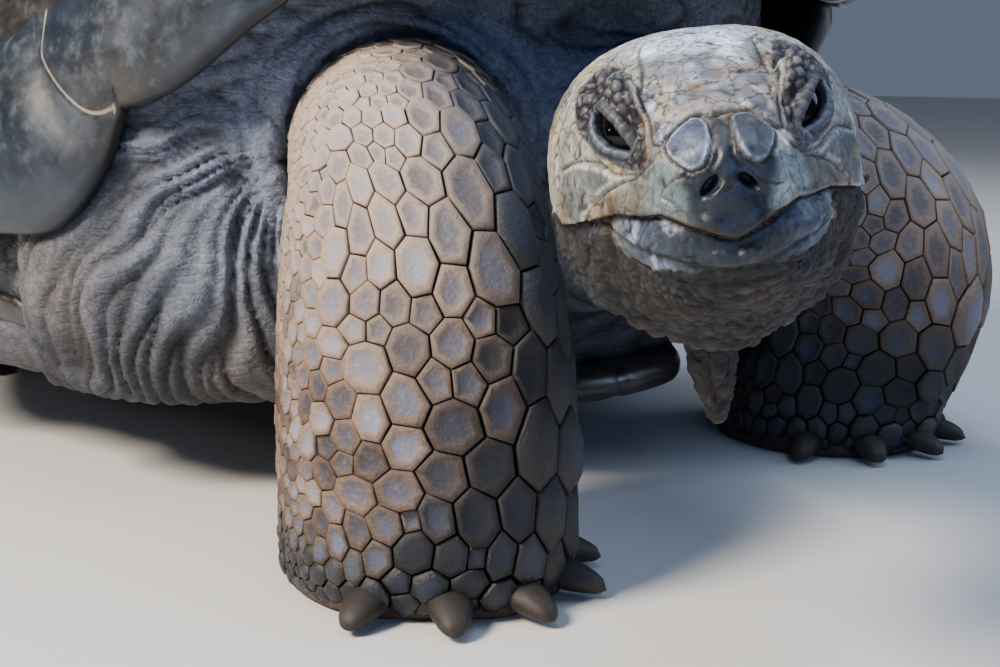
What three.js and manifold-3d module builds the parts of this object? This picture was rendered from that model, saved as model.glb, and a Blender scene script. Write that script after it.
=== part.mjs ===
// A domed giant tortoise, life size, standing low with its neck stretched out and turned to its right.
// Millimetres, +Z up. The animal faces -Y, its left side is +X, and the floor is z = 0.
import * as THREE from "three";
import { mergeVertices } from "three/addons/utils/BufferGeometryUtils.js";
import Module from "manifold-3d";

const wasm = await Module();
wasm.setup();

// ---------------------------------------------------------------- driving dimensions
const GAP = 0.3; // air between two pieces that touch
const FORWARD = -137.4; // the middle of the whole length, from the middle of the shell
const DEG = Math.PI / 180;
const SHELL = {
  halfLength: 600,
  halfWidth: 450,
  apexY: 20,
  apexZ: 630,
  planPower: 0.82, // under 1 makes the dome fuller than an ellipse
  sidePower: 0.88,
  rimWall: 26,
  topWall: 14,
};
const RIM = {
  side: 185, // height of the rim over the bridge
  frontRise: 225, // how much higher it is over the neck
  riseFrom: 38, // degrees from the front between which it comes down
  riseTo: 81.5,
  rearRise: 62,
  tailDip: 38,
  hang: 7, // how far a marginal scute hangs below its seams
  shoulderHang: 42, // the same over the arms, where the lobes are deepest
  flare: 16, // how far the edge curls out
};
const PLASTRON = { bottom: 68, thick: 24, bridgeRise: 112, bridgeStart: 270 };
const MARGINAL_TOP = 0.2; // where the marginal scutes end, as a share of the climb from rim to apex
const LOBE_TOP = 0.135; // where their lobes have died away
// Seams between marginal scutes, in degrees from the middle of the front; the last is the tail scute's edge.
const MARGINAL_SEAMS = [0, 13, 27, 42, 57.5, 73, 88, 103, 118, 133, 149, 167];
const TAIL_SEAM = 193;
const SCUTE = { raise: 4, seam: -3, groove: 9 };
const BELLY_SCUTE = { raise: 2.5, seam: -2, groove: 8 };
const LEG_SCUTE = { raise: 3.5, seam: -1, groove: 4 };
const HEAD_SCUTE = { raise: 0.9, seam: -0.9, groove: 2.4 };
const EYE = {
  at: new THREE.Vector3(36, -42, 37), // the left one; the right one is mirrored
  radius: 18,
  facing: new THREE.Vector3(0.5, -0.8, 0.33),
  tilt: 36 * DEG, // the outer corner is higher
  half: 16, // half the length of the opening
  open: 0.5, // its height over its length
  upperLid: 7.5,
  lowerLid: 4,
  cornerDepth: 4.5, // the lids' corners lie at least this far out from the ball's middle
};
const NOSTRIL = { x: 8, y: -105, z: 24, radius: 3.4, deep: 9 };
const MOUTH_CUT = { open: 3.6, deep: 9 }; // the parting between the lips
const PREFRONTAL = { at: [14.5, -89, 38], size: [11.5, 17, 10] }; // a bulging drop over each nostril
// Where the lips meet, from the middle of the beak to the left corner.
const MOUTH = [
  [0, -107, -1],
  [14, -105, 4],
  [30, -97, 11],
  [48, -69, 6],
  [64, -38, -5],
  [78, 4, -17],
];
// The fold of loose skin that hangs under the throat: depth, top, bottom and half width of its slices.
const THROAT = [
  [-6, -62, -86, 7],
  [10, -66, -130, 13],
  [32, -66, -154, 15],
  [56, -62, -150, 15],
  [78, -52, -120, 12],
  [92, -46, -76, 6],
];
const THROAT_AT = -7; // how far to the right of the middle it swings

const HEAD = {
  place: new THREE.Vector3(-306, -843, 292),
  turn: -41 * DEG, // about Z, to the animal's right
  nod: 10 * DEG, // nose down
  roll: -8 * DEG, // left side up
};

// ---------------------------------------------------------------- solids and meshes
// A closed manifold from a list of triangles, each three Vector3, turned so that its faces point out.
function solidOf(triangles) {
  const flat = triangles.flat().flatMap((p) => [p.x, p.y, p.z]);
  const soup = new THREE.BufferGeometry().setAttribute("position", new THREE.Float32BufferAttribute(flat, 3));
  return solidOfGeometry(soup);
}

function solidOfGeometry(geometry) {
  const bare = geometry.clone();
  bare.deleteAttribute("normal");
  bare.deleteAttribute("uv");
  const merged = mergeVertices(bare, 1e-3);
  const index = Array.from(merged.index.array);
  const triVerts = [];
  for (let i = 0; i < index.length; i += 3) {
    const [a, b, c] = index.slice(i, i + 3);
    if (a !== b && b !== c && c !== a) triVerts.push(a, b, c);
  }
  const vertProperties = merged.attributes.position.array;
  const made = (tris) =>
    new wasm.Manifold(new wasm.Mesh({ numProp: 3, vertProperties, triVerts: new Uint32Array(tris) }));
  const solid = made(triVerts);
  return solid.volume() > 0 ? solid : made(triVerts.reverse());
}

// The largest closed surface of a solid, so that no loose scrap or sealed hollow is left after a cut.
function largest(solid) {
  return solid.decompose().reduce((a, b) => (b.volume() > a.volume() ? b : a));
}

// The solid with every corner pushed out, so that each face lies `extra` further out: its room in another.
const SHARPEST = 0.3; // a corner is pushed out by at most extra / SHARPEST
function grown(solid, extra) {
  const { vertProperties, triVerts, numProp, numVert } = solid.getMesh();
  const corner = (i) => new THREE.Vector3().fromArray(vertProperties, i * numProp);
  const points = Array.from({ length: numVert }, (_, i) => corner(i));
  const normals = points.map(() => []);
  const faceOf = (i) => Array.from(triVerts.subarray(3 * i, 3 * i + 3));
  const faces = Array.from({ length: triVerts.length / 3 }, (_, i) => faceOf(i));
  for (const face of faces) {
    const [a, b, c] = face.map((i) => points[i]);
    const normal = b.clone().sub(a).cross(c.clone().sub(a));
    face.forEach((i) => normals[i].push(normal)); // as long as twice the face's area
  }
  const moved = points.map((p, i) => {
    const way = normals[i].reduce((sum, n) => sum.add(n), new THREE.Vector3()).normalize();
    const widest = Math.max(...normals[i].map((n) => n.length()));
    const notSlivers = normals[i].filter((n) => n.length() > widest / 20);
    const clear = notSlivers.map((n) => n.dot(way) / n.length());
    return p.clone().addScaledVector(way, extra / Math.max(SHARPEST, Math.min(...clear)));
  });
  return solidOf(faces.map((face) => face.map((i) => moved[i])));
}

function moved(solid, matrix) {
  return solid.transform(matrix.elements);
}

const HEAD_MATRIX = new THREE.Matrix4()
  .makeRotationFromEuler(new THREE.Euler(HEAD.nod, HEAD.roll, HEAD.turn, "ZXY"))
  .setPosition(HEAD.place);

function meshOf(name, solid, material) {
  const { vertProperties, triVerts, numProp, numVert } = solid.getMesh();
  const positions = new Float32Array(numVert * 3);
  for (let i = 0; i < numVert; i++) {
    positions.set(vertProperties.subarray(i * numProp, i * numProp + 3), 3 * i);
  }
  const geometry = new THREE.BufferGeometry();
  geometry.setAttribute("position", new THREE.BufferAttribute(positions, 3));
  geometry.setIndex(new THREE.BufferAttribute(triVerts, 1));
  geometry.computeVertexNormals();
  const mesh = new THREE.Mesh(geometry, material);
  mesh.name = name;
  return mesh;
}

// ---------------------------------------------------------------- small maths
const mix = THREE.MathUtils.lerp;
const smooth = THREE.MathUtils.smoothstep; // (value, low, high)

function wrapDegrees(turn) {
  return Math.abs(Math.atan2(Math.sin(turn), Math.cos(turn))) / DEG;
}

// A point of `base(x, y)` pushed out along its surface normal by `lift`.
function lifted(base, x, y, lift, stepX, stepY, side = 1) {
  const at = base(x, y);
  const alongX = base(x + stepX, y).sub(base(x - stepX, y));
  const alongY = base(x, y + stepY).sub(base(x, y - stepY));
  const normal = alongX.cross(alongY).normalize();
  return at.addScaledVector(normal, lift * side);
}

// ---------------------------------------------------------------- plates on a surface
// A chart is a flat map of a surface. Plates are convex cells of the chart, each a list of Vector2 in order.
function nearerTo(cell, site, other) {
  const normal = new THREE.Vector2().subVectors(other, site);
  const limit = (other.lengthSq() - site.lengthSq()) / 2;
  const kept = [];
  cell.forEach((from, i) => {
    const to = cell[(i + 1) % cell.length];
    const a = from.dot(normal) - limit;
    const b = to.dot(normal) - limit;
    if (a <= 0) kept.push(from);
    if (a < 0 !== b < 0 && a !== b) kept.push(from.clone().lerp(to, a / (a - b)));
  });
  return kept;
}

// Growth centres meet halfway, so each plate is the part of the outline nearest to its own centre.
function growPlates(outlineOf, sites, neighboursOf) {
  return sites.map((site) => {
    const cut = (cell, other) => nearerTo(cell, site, other);
    return neighboursOf(site).reduce(cut, outlineOf(site));
  });
}

// Gives neighbouring cells the same points along the border they share, none further apart than `step`.
function shareBorders(cells, step) {
  const corners = cells.flat();
  const close = 1e-4;
  return cells.map((cell) => {
    const made = [];
    cell.forEach((from, i) => {
      const to = cell[(i + 1) % cell.length];
      const side = to.clone().sub(from);
      const length = side.length();
      if (length < close) return;
      const shares = corners
        .filter((p) => {
          const off = p.clone().sub(from);
          const along = off.dot(side) / length;
          return along > close && along < length - close && Math.abs(off.cross(side)) / length < close;
        })
        .map((p) => p.clone().sub(from).dot(side) / length / length)
        .concat([0, 1])
        .sort((a, b) => a - b)
        .filter((share, k, all) => k === 0 || (share - all[k - 1]) * length > close);
      for (let k = 0; k + 1 < shares.length; k++) {
        const [low, high] = [shares[k], shares[k + 1]];
        const pieces = Math.max(1, Math.ceil(((high - low) * length) / step - 1e-6));
        for (let n = 0; n < pieces; n++) made.push(from.clone().lerp(to, mix(low, high, n / pieces)));
      }
    });
    return made;
  });
}

function centreOf(cell) {
  return cell.reduce((sum, p) => sum.add(p), new THREE.Vector2()).divideScalar(cell.length);
}

// The triangles of one raised plate: a sloping edge down to the seam, and a crowned top.
function plate(cell, surface, style, raise, rings) {
  const centre = centreOf(cell);
  if (raise <= style.seam) {
    const border = cell.map((p) => surface(p.x, p.y, raise));
    return fan(border, surface(centre.x, centre.y, raise));
  }
  const reach = cell.reduce((sum, p) => sum + p.distanceTo(centre), 0) / cell.length;
  const edge = Math.max(0.5, 1 - style.groove / reach);
  const steps = [[1, style.seam], [edge, raise]];
  for (let k = 1; k < rings; k++) steps.push([edge * (1 - k / rings), raise * (1 + 0.25 * k)]);
  const at = (p, share, lift) => surface(mix(centre.x, p.x, share), mix(centre.y, p.y, share), lift);
  const rows = steps.map(([share, lift]) => cell.map((p) => at(p, share, lift)));
  const middle = surface(centre.x, centre.y, steps.at(-1)[1]);
  return [...rows.slice(1).flatMap((row, k) => between(rows[k], row, true)), ...fan(rows.at(-1), middle)];
}

// The solid through a row of closed rings, shut by a fan at either end.
function closedRows(rings) {
  const middle = (ring) => ring.reduce((sum, p) => sum.add(p), new THREE.Vector3()).divideScalar(ring.length);
  const walls = rings.slice(1).flatMap((ring, k) => between(rings[k], ring, true));
  const [first, last] = [rings[0], rings.at(-1)];
  return solidOf([...fan([...first].reverse(), middle(first)), ...walls, ...fan(last, middle(last))]);
}

// Triangles between two rows of as many points, closed round if `loop`.
function between(low, high, loop) {
  const made = [];
  for (let i = 0; i < low.length - (loop ? 0 : 1); i++) {
    const j = (i + 1) % low.length;
    made.push([low[i], low[j], high[i]], [low[j], high[j], high[i]]);
  }
  return made;
}

function ringOf(count, pointAt) {
  return Array.from({ length: count }, (_, i) => pointAt((i / count) * 2 * Math.PI));
}

function fan(row, middle) {
  return row.map((p, i) => [p, row[(i + 1) % row.length], middle]);
}

// A sheet of plates with a wall behind them: raised outside, plain inside.
function platedSheet(cells, surface, style, wallAt, rings = 1) {
  const shared = shareBorders(cells, style.step);
  const key = (p) => `${Math.round(p.x * 100)} ${Math.round(p.y * 100)}`;
  const sides = new Map();
  const made = [];
  for (const cell of shared) {
    made.push(...plate(cell, surface, style, style.raise, rings));
    const inner = cell.map((p) => surface(p.x, p.y, -wallAt(p)));
    const centre = centreOf(cell);
    made.push(...fan(inner.reverse(), surface(centre.x, centre.y, -wallAt(centre))));
    cell.forEach((p, i) => {
      const next = cell[(i + 1) % cell.length];
      sides.set(key(p) + "|" + key(next), [p, next]);
    });
  }
  for (const [a, b] of sides.values()) {
    if (sides.has(key(b) + "|" + key(a))) continue;
    const outer = [a, b].map((p) => surface(p.x, p.y, style.seam));
    const inner = [a, b].map((p) => surface(p.x, p.y, -wallAt(p)));
    made.push([outer[1], outer[0], inner[0]], [outer[1], inner[0], inner[1]]);
  }
  return solidOf(made);
}

// A closed skin round a limb-like surface. The chart's x runs round the girth and repeats; y runs along it.
function platedTube(surface, girth, length, sites, style, raiseAt, rings = 1) {
  const outlineOf = (s) => [
    new THREE.Vector2(s.x - girth / 2, 0),
    new THREE.Vector2(s.x + girth / 2, 0),
    new THREE.Vector2(s.x + girth / 2, length),
    new THREE.Vector2(s.x - girth / 2, length),
  ];
  const turns = [-girth, 0, girth].map((x) => new THREE.Vector2(x, 0));
  const others = (s, t) => sites.filter((o) => o !== s || t.x).map((o) => o.clone().add(t));
  const neighboursOf = (s) => turns.flatMap((t) => others(s, t));
  const cells = shareBorders(growPlates(outlineOf, sites, neighboursOf), style.step);
  const made = cells.flatMap((cell) => plate(cell, surface, style, raiseAt(centreOf(cell)), rings));
  const centres = [0, length].map((y) => endCentre(surface, girth, y));
  for (const cell of cells)
    cell.forEach((p, i) => {
      const q = cell[(i + 1) % cell.length];
      const end = [0, length].findIndex((y) => Math.abs(p.y - y) < 1e-6 && Math.abs(q.y - y) < 1e-6);
      if (end >= 0) made.push([surface(q.x, q.y, style.seam), surface(p.x, p.y, style.seam), centres[end]]);
    });
  return solidOf(made);
}

function endCentre(surface, girth, y) {
  const count = 24;
  const sum = new THREE.Vector3();
  for (let i = 0; i < count; i++) sum.add(surface((girth * i) / count, y, 0));
  return sum.divideScalar(count);
}

// Sites in staggered rows round a tube, stretched to fill it; `gapAt` gives the wanted spacing in a row.
function staggeredSites(girth, length, rows, gapAt) {
  const sites = [];
  const total = rows.reduce((sum, h) => sum + h);
  let low = 0;
  rows.forEach((height, row) => {
    const y = ((low + height / 2) / total) * length;
    low += height;
    const start = ((row % 2) * gapAt(0, y)) / 2;
    const columns = [];
    for (let x = start; x < girth + start; x += gapAt(x % girth, y)) columns.push(x);
    const stretch = girth / (columns.at(-1) + gapAt(columns.at(-1) % girth, y) - start);
    columns.forEach((x) => sites.push(new THREE.Vector2(start + (x - start) * stretch, y)));
  });
  return sites;
}

// ---------------------------------------------------------------- tubes round a bent core
// stations: [x, y, z, half width to the side, half width to the front]. `side` is the way that turn 0 points.
function tubeSurface(stations, side, girth, length, shape = (turn, share, radius) => radius) {
  const curve = (points) => new THREE.CatmullRomCurve3(points, false, "centripetal");
  const core = curve(stations.map((s) => new THREE.Vector3(...s.slice(0, 3))));
  const sizes = curve(stations.map((s) => new THREE.Vector3(s[3], s[4], 0)));
  const base = (x, y) => {
    const share = THREE.MathUtils.clamp(y / length, 0, 1);
    const t = core.getUtoTmapping(share);
    const at = core.getPoint(t);
    const along = core.getTangent(t);
    const size = sizes.getPoint(t);
    const across = side.clone().addScaledVector(along, -side.dot(along)).normalize();
    const front = along.clone().cross(across);
    const turn = (x / girth) * 2 * Math.PI;
    const radius = shape(turn, share, 1);
    at.addScaledVector(across, Math.cos(turn) * size.x * radius);
    at.addScaledVector(front, Math.sin(turn) * size.y * radius);
    return at;
  };
  return (x, y, lift) => {
    const clear = THREE.MathUtils.clamp(y, 0.5, length - 0.5);
    const normalAt = lifted(base, x, clear, lift, 0.5, 0.5);
    return y === clear ? normalAt : normalAt.add(base(x, y)).sub(base(x, clear));
  };
}

// ---------------------------------------------------------------- carapace
// The rim's line through the seams, without the lobes.
function rimPoint(turn) {
  const fromFront = wrapDegrees(turn);
  const front = RIM.frontRise * (1 - smooth(fromFront, RIM.riseFrom, RIM.riseTo));
  const rear = RIM.rearRise * smooth(fromFront, 112, 148) - RIM.tailDip * smooth(fromFront, 160, 178);
  return new THREE.Vector3(
    SHELL.halfWidth * Math.sin(turn),
    -SHELL.halfLength * Math.cos(turn),
    RIM.side + front + rear,
  );
}

// How far a marginal scute's edge hangs below that line: most a little in front of its middle.
function lobe(turn) {
  const fromFront = wrapDegrees(turn);
  const seam = MARGINAL_SEAMS.findIndex((s) => s > fromFront);
  const a = seam > 0 ? MARGINAL_SEAMS[seam - 1] : MARGINAL_SEAMS.at(-1);
  const b = seam > 0 ? MARGINAL_SEAMS[seam] : TAIL_SEAM;
  const share = Math.max(0, (fromFront - a) / (b - a));
  const hang = RIM.hang + RIM.shoulderHang * Math.exp(-(((fromFront - 61) / 12) ** 2));
  return hang * Math.sin(Math.PI * share ** 0.7);
}

function shellBase(turn, climb) {
  const arc = THREE.MathUtils.clamp(climb, 0, 1) * (Math.PI / 2);
  const out = Math.max(Math.cos(arc), 0) ** SHELL.planPower;
  const up = Math.sin(arc) ** SHELL.sidePower;
  const rim = rimPoint(turn);
  const edge = 1 - smooth(climb, 0, LOBE_TOP);
  const curl = 1 + ((RIM.flare * Math.abs(Math.cos(turn))) / SHELL.halfLength) * edge;
  return new THREE.Vector3(
    rim.x * out * curl,
    mix(SHELL.apexY, rim.y, out) * curl,
    mix(rim.z, SHELL.apexZ, up) - lobe(turn) * edge,
  );
}

function shellPoint(turn, climb, lift) {
  const inside = THREE.MathUtils.clamp(climb, 0.012, 0.97);
  const at = lifted(shellBase, turn, inside, lift, 0.02, 0.01);
  return at.add(shellBase(turn, climb)).sub(shellBase(turn, inside));
}

function wallAt(climb) {
  return mix(SHELL.rimWall, SHELL.topWall, smooth(climb, 0, 0.3));
}

// The shell's chart: seen from above and unrolled, so that the rim is an ellipse of the shell's own size.
function shellChart(turn, climb) {
  const out = 1 - climb;
  return new THREE.Vector2(out * SHELL.halfWidth * Math.sin(turn), -out * SHELL.halfLength * Math.cos(turn));
}

function shellTurn(p) {
  return Math.atan2(p.x / SHELL.halfWidth, -p.y / SHELL.halfLength);
}

function shellClimb(p) {
  return Math.max(0, 1 - Math.hypot(p.x / SHELL.halfWidth, p.y / SHELL.halfLength));
}

function shellSurface(x, y, lift) {
  const p = new THREE.Vector2(x, y);
  return shellPoint(shellTurn(p), shellClimb(p), lift);
}

function carapaceCells() {
  const left = MARGINAL_SEAMS.map((s, i, all) => [s, all[i + 1] ?? TAIL_SEAM]);
  const right = left.slice(0, -1).map(([a, b]) => [360 - b, 360 - a]);
  const spans = [...left, ...right.reverse()].map((span) => span.map((s) => s * DEG));
  const row = ([a, b], climb, shares) => shares.map((share) => shellChart(mix(a, b, share), climb));
  const marginals = spans.map((span) => {
    return [...row(span, 0, [0, 0.25, 0.5, 0.75, 1]), ...row(span, MARGINAL_TOP, [1, 0.5, 0])];
  });
  const ring = spans.flatMap((span) => row(span, MARGINAL_TOP, [0, 0.5]));
  const vertebrals = [-425, -215, 5, 225, 415].map((y) => new THREE.Vector2(0, y));
  const costals = [
    [225, -345],
    [268, -115],
    [272, 120],
    [225, 325],
  ].flatMap(([x, y]) => [new THREE.Vector2(-x, y), new THREE.Vector2(x, y)]);
  const sites = [...vertebrals, ...costals];
  return [...marginals, ...growPlates(() => ring, sites, (s) => sites.filter((o) => o !== s))];
}

function makeCarapace() {
  return platedSheet(carapaceCells(), shellSurface, { ...SCUTE, step: 100 }, (p) => wallAt(shellClimb(p)), 2);
}

// ---------------------------------------------------------------- plastron
const LOBES = [
  // [y, half width]: front lobe, notch behind the arm, bridge, notch before the thigh, rear lobe
  [-478, 50],
  [-440, 118],
  [-330, 196],
  [-210, 238],
  [-210, 376],
  [0, 425],
  [210, 392],
  [210, 240],
  [330, 176],
  [430, 128],
  [480, 62],
];

function bridgeHeight(x, y) {
  const rimX = SHELL.halfWidth * Math.sqrt(Math.max(0.02, 1 - (y / SHELL.halfLength) ** 2));
  const out = Math.max(0, Math.abs(x) - PLASTRON.bridgeStart) / Math.max(40, rimX - PLASTRON.bridgeStart);
  return PLASTRON.bottom + PLASTRON.bridgeRise * out ** 1.6;
}

function plastronSurface(x, y, lift) {
  const base = (u, v) => new THREE.Vector3(u, v, bridgeHeight(u, v));
  return lifted(base, x, y, lift, 1, 1, -1);
}

function plastronCells() {
  const inner = PLASTRON.bridgeStart - 20;
  const cells = [];
  for (let k = 0; k + 1 < LOBES.length; k++) {
    const [[y0, w0], [y1, w1]] = [LOBES[k], LOBES[k + 1]];
    if (y1 - y0 < 20) continue;
    const wide = Math.min(w0, w1) > inner;
    const [a, b] = wide ? [inner, inner] : [w0, w1];
    for (const side of [-1, 1]) {
      cells.push([[0, y0], [side * a, y0], [side * b, y1], [0, y1]]);
      if (wide) cells.push([[side * a, y0], [side * w0, y0], [side * w1, y1], [side * b, y1]]);
    }
  }
  return cells.map((cell) => {
    const points = cell.map(([x, y]) => new THREE.Vector2(x, y));
    return THREE.ShapeUtils.area(points) > 0 ? points : points.reverse();
  });
}

function makePlastron() {
  return platedSheet(plastronCells(), plastronSurface, { ...BELLY_SCUTE, step: 110 }, () => PLASTRON.thick);
}

// ---------------------------------------------------------------- torso
// The body inside the shell, with the soft skin that fills the openings round neck, legs and tail.
const SKIRT = [
  // [degrees from the front, share of the rim's plan at the top, and at the bottom]
  [0, 0.8, 0.7],
  [30, 0.84, 0.74],
  [64, 0.95, 0.9],
  [90, 0.95, 0.93],
  [116, 0.93, 0.88],
  [145, 0.86, 0.76],
  [180, 0.9, 0.78],
];

function skirtShare(turn, column) {
  const fromFront = wrapDegrees(turn);
  const k = Math.max(1, SKIRT.findIndex((row) => row[0] >= fromFront));
  const [a, b] = [SKIRT[k - 1], SKIRT[k]];
  return mix(a[column], b[column], smooth(fromFront, a[0], b[0]));
}

function skirtPoint(turn, share, bulge) {
  const rim = rimPoint(turn);
  const out = mix(skirtShare(turn, 1), skirtShare(turn, 2), share) + bulge * Math.sin(Math.PI * share);
  const z = mix(rim.z + 26, PLASTRON.bottom + 12, share);
  return new THREE.Vector3(rim.x * out, rim.y * out, z);
}

function makeTorso() {
  const columns = 32;
  const rows = [];
  const ring = (pointAt) => Array.from({ length: columns }, (_, i) => pointAt((i / columns) * 2 * Math.PI));
  for (const climb of [0.85, 0.65, 0.45, 0.28, 0.14, 0.06])
    rows.push(ring((turn) => shellPoint(turn, climb, -wallAt(climb) * 0.55)));
  for (const share of [0, 0.25, 0.5, 0.75, 1]) rows.push(ring((turn) => skirtPoint(turn, share, 0.035)));
  const top = new THREE.Vector3(0, SHELL.apexY, SHELL.apexZ - SHELL.topWall * 0.55);
  const bottom = new THREE.Vector3(0, 0, rows.at(-1)[0].z);
  const walls = rows.slice(1).flatMap((row, k) => between(rows[k], row, true));
  return solidOf([...fan([...rows[0]].reverse(), top), ...walls, ...fan(rows.at(-1), bottom)]);
}

// ---------------------------------------------------------------- legs
const FORELEG_RIGHT = [
  [-278, -565, 0, 82, 92],
  [-278, -565, 16, 94, 106],
  [-277, -565, 70, 96, 108],
  [-274, -558, 150, 94, 106],
  [-264, -540, 218, 90, 98],
  [-238, -500, 262, 86, 88],
  [-196, -430, 282, 84, 84],
  [-140, -330, 270, 74, 78],
];
const FORELEG_LEFT = [
  [258, -486, 0, 84, 92],
  [258, -486, 16, 97, 106],
  [264, -490, 70, 99, 112],
  [282, -502, 130, 102, 116],
  [286, -502, 180, 102, 114],
  [258, -470, 230, 92, 98],
  [205, -400, 248, 80, 86],
  [140, -320, 240, 74, 78],
];
const HINDLEG = [
  [278, 400, 0, 84, 92],
  [278, 400, 16, 98, 106],
  [276, 398, 70, 96, 104],
  [270, 392, 140, 98, 108],
  [245, 372, 200, 100, 110],
  [205, 335, 250, 92, 98],
  [150, 290, 290, 70, 76],
];
const LEG_GIRTH = 620; // round the column
const LEG_LENGTH = 524; // along the core
const SCALED_TO = 325; // how far up a foreleg the raised scales go
const SCALE_ROWS = [44, 42, 40, 38, 38, 38, 40, 42, 92, 110]; // heights of the rows, from the sole up

function mirrored(stations) {
  return stations.map(([x, ...rest]) => [-x, ...rest]);
}

// Scales stand out on the front and the outer side, largest towards the inner front, and lie flat behind.
function legPlates(scale) {
  // 1 straight towards the side that `way` names, in degrees from outward
  const facing = (x, way) => Math.cos((x / LEG_GIRTH) * 2 * Math.PI - way * DEG);
  const gapAt = (x, y) => {
    if (y > SCALED_TO) return 120;
    return scale * (facing(x, 70) > -0.35 ? mix(36, 50, smooth(facing(x, 110), -0.2, 1)) : 90);
  };
  const raiseAt = (p) => (p.y < SCALED_TO && facing(p.x, 70) > -0.3 ? LEG_SCUTE.raise : LEG_SCUTE.seam);
  return { gapAt, raiseAt };
}

function makeLeg(stations, scale) {
  // Turn 0 points to the outer side and a quarter turn on to the front, on either side of the animal.
  const outward = Math.sign(stations[0][0]);
  const open = tubeSurface(stations, new THREE.Vector3(outward, 0, 0), LEG_GIRTH, LEG_LENGTH);
  const surface = (x, y, lift) => {
    const p = open(-outward * x, y, lift);
    p.z = y < 1e-6 ? 0 : Math.max(0, p.z); // the sole is flat on the floor
    return p;
  };
  const { gapAt, raiseAt } = legPlates(scale);
  const sites = staggeredSites(LEG_GIRTH, LEG_LENGTH, SCALE_ROWS.map((h) => h * scale), gapAt);
  return platedTube(surface, LEG_GIRTH, LEG_LENGTH, sites, { ...LEG_SCUTE, step: 70 }, raiseAt);
}

// ---------------------------------------------------------------- neck and tail
const NECK = [
  [0, -400, 256, 106, 116],
  [-4, -500, 258, 92, 106],
  [-34, -600, 258, 78, 92],
  [-98, -695, 268, 68, 78],
  [-176, -762, 281, 61, 64],
  [-236, -800, 290, 54, 54],
];
// The hang is a share of the neck's half height, the width is in degrees.
const DEWLAP = { hang: 0.4, from: 0.2, width: 22 };

// The neck's section: a loose fold of skin hangs under the throat, most at the front.
function withDewlap(turn, share, radius) {
  const off = wrapDegrees(turn + Math.PI / 2);
  return radius + DEWLAP.hang * smooth(share, DEWLAP.from, 0.9) * Math.exp(-((off / DEWLAP.width) ** 2));
}

const TAIL = [
  [0, 430, 190, 62, 60],
  [0, 520, 182, 50, 50],
  [6, 590, 158, 36, 36],
  [18, 636, 120, 24, 22],
  [26, 656, 84, 12, 10],
];

function makeTube(stations, columns, rows, shape) {
  const length = 100;
  const surface = tubeSurface(stations, new THREE.Vector3(1, 0, 0), columns, length, shape);
  const ring = (k) => Array.from({ length: columns }, (_, i) => surface(i, (k / rows) * length, 0));
  return closedRows(Array.from({ length: rows + 1 }, (_, k) => ring(k)));
}

// ---------------------------------------------------------------- head, in its own frame: snout towards -Y
const SKULL = [
  // [y, half width, top, bottom]
  [-107, 13, 31, -9],
  [-101, 27, 39, -25],
  [-86, 40, 47, -41],
  [-60, 53, 57, -55],
  [-30, 67, 66, -67],
  [0, 77, 71, -76],
  [28, 80, 71, -78],
  [58, 75, 65, -71],
  [82, 64, 55, -60],
  [102, 54, 45, -50],
];
const SKULL_POWER = 0.82; // under 1 makes a section boxier than an ellipse
const HEAD_GIRTH = 420;
const HEAD_LENGTH = 240;
// Centres of the left half's horny shields, each with how far it stands out; those with x = 0 are single.
const SHIELDS = [
  [0, -107, 24, 0.6], // between the nostrils
  [0, -106, 8, 0.6], // middle of the beak
  [33, -91, 20, 1.8], // side of the beak
  [0, -103, -20, 0.6],
  [36, -86, -14, 0.6],
  [24, -88, 40, 0.3],
  [0, -42, 64, 2.2], // the large frontal shield
  [50, -60, 12, 1.4],
  [60, -46, -22, 0.6],
  [22, -78, -44, 0.3],
  [56, -22, 50, 0.3],
  [70, -22, 14, 1.8], // cheek
  [68, -24, -38, 0.5],
  [34, -38, -62, 0.3],
  [0, 18, 71, 1.4],
  [40, 8, 66, 1.2],
  [74, 14, 38, 1.8],
  [80, 22, 0, 1.8],
  [76, 8, -44, 0.5],
  [42, 0, -74, 0.3],
  [0, -22, -70, 0.3],
  [0, 64, 64, 0.6],
  [42, 58, 58, 0.6],
  [71, 58, 16, 0.6],
  [70, 58, -34, 0.3],
  [34, 56, -70, 0.3],
];

const skullColumn = (c) => SKULL.map((s, i) => new THREE.Vector2(i, s[c]));
const skullCurves = [0, 1, 2, 3].map((c) => new THREE.SplineCurve(skullColumn(c)));

// Depth, half width, middle height and half height of the section at `share` of the head's chart.
function skullSection(share) {
  const [depth, half, top, bottom] = skullCurves.map((curve) => curve.getPoint(share).y);
  return { depth, half, middle: (top + bottom) / 2, tall: (top - bottom) / 2 };
}

function headBase(x, y) {
  const { depth, half, middle, tall } = skullSection(THREE.MathUtils.clamp(y / HEAD_LENGTH, 0, 1));
  const turn = (x / HEAD_GIRTH) * 2 * Math.PI;
  const boxy = (v) => Math.sign(v) * Math.abs(v) ** SKULL_POWER;
  return new THREE.Vector3(half * boxy(Math.sin(turn)), depth, middle + tall * boxy(Math.cos(turn)));
}

function headSurface(x, y, lift) {
  const clear = THREE.MathUtils.clamp(y, 1, HEAD_LENGTH - 1);
  return lifted(headBase, x, clear, lift, 1, 1).add(headBase(x, y)).sub(headBase(x, clear));
}

// Where on the head's chart a point of its own frame lies.
function headChart(x, y, z) {
  let [low, high] = [0, 1];
  for (let i = 0; i < 24; i++) {
    const share = (low + high) / 2;
    if (skullSection(share).depth < y) low = share;
    else high = share;
  }
  const { half, middle, tall } = skullSection(low);
  const unboxy = (v) => Math.sign(v) * Math.abs(v) ** (1 / SKULL_POWER);
  const turn = Math.atan2(unboxy(x / half), unboxy((z - middle) / tall));
  return new THREE.Vector2((turn / (2 * Math.PI)) * HEAD_GIRTH, low * HEAD_LENGTH);
}

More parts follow.
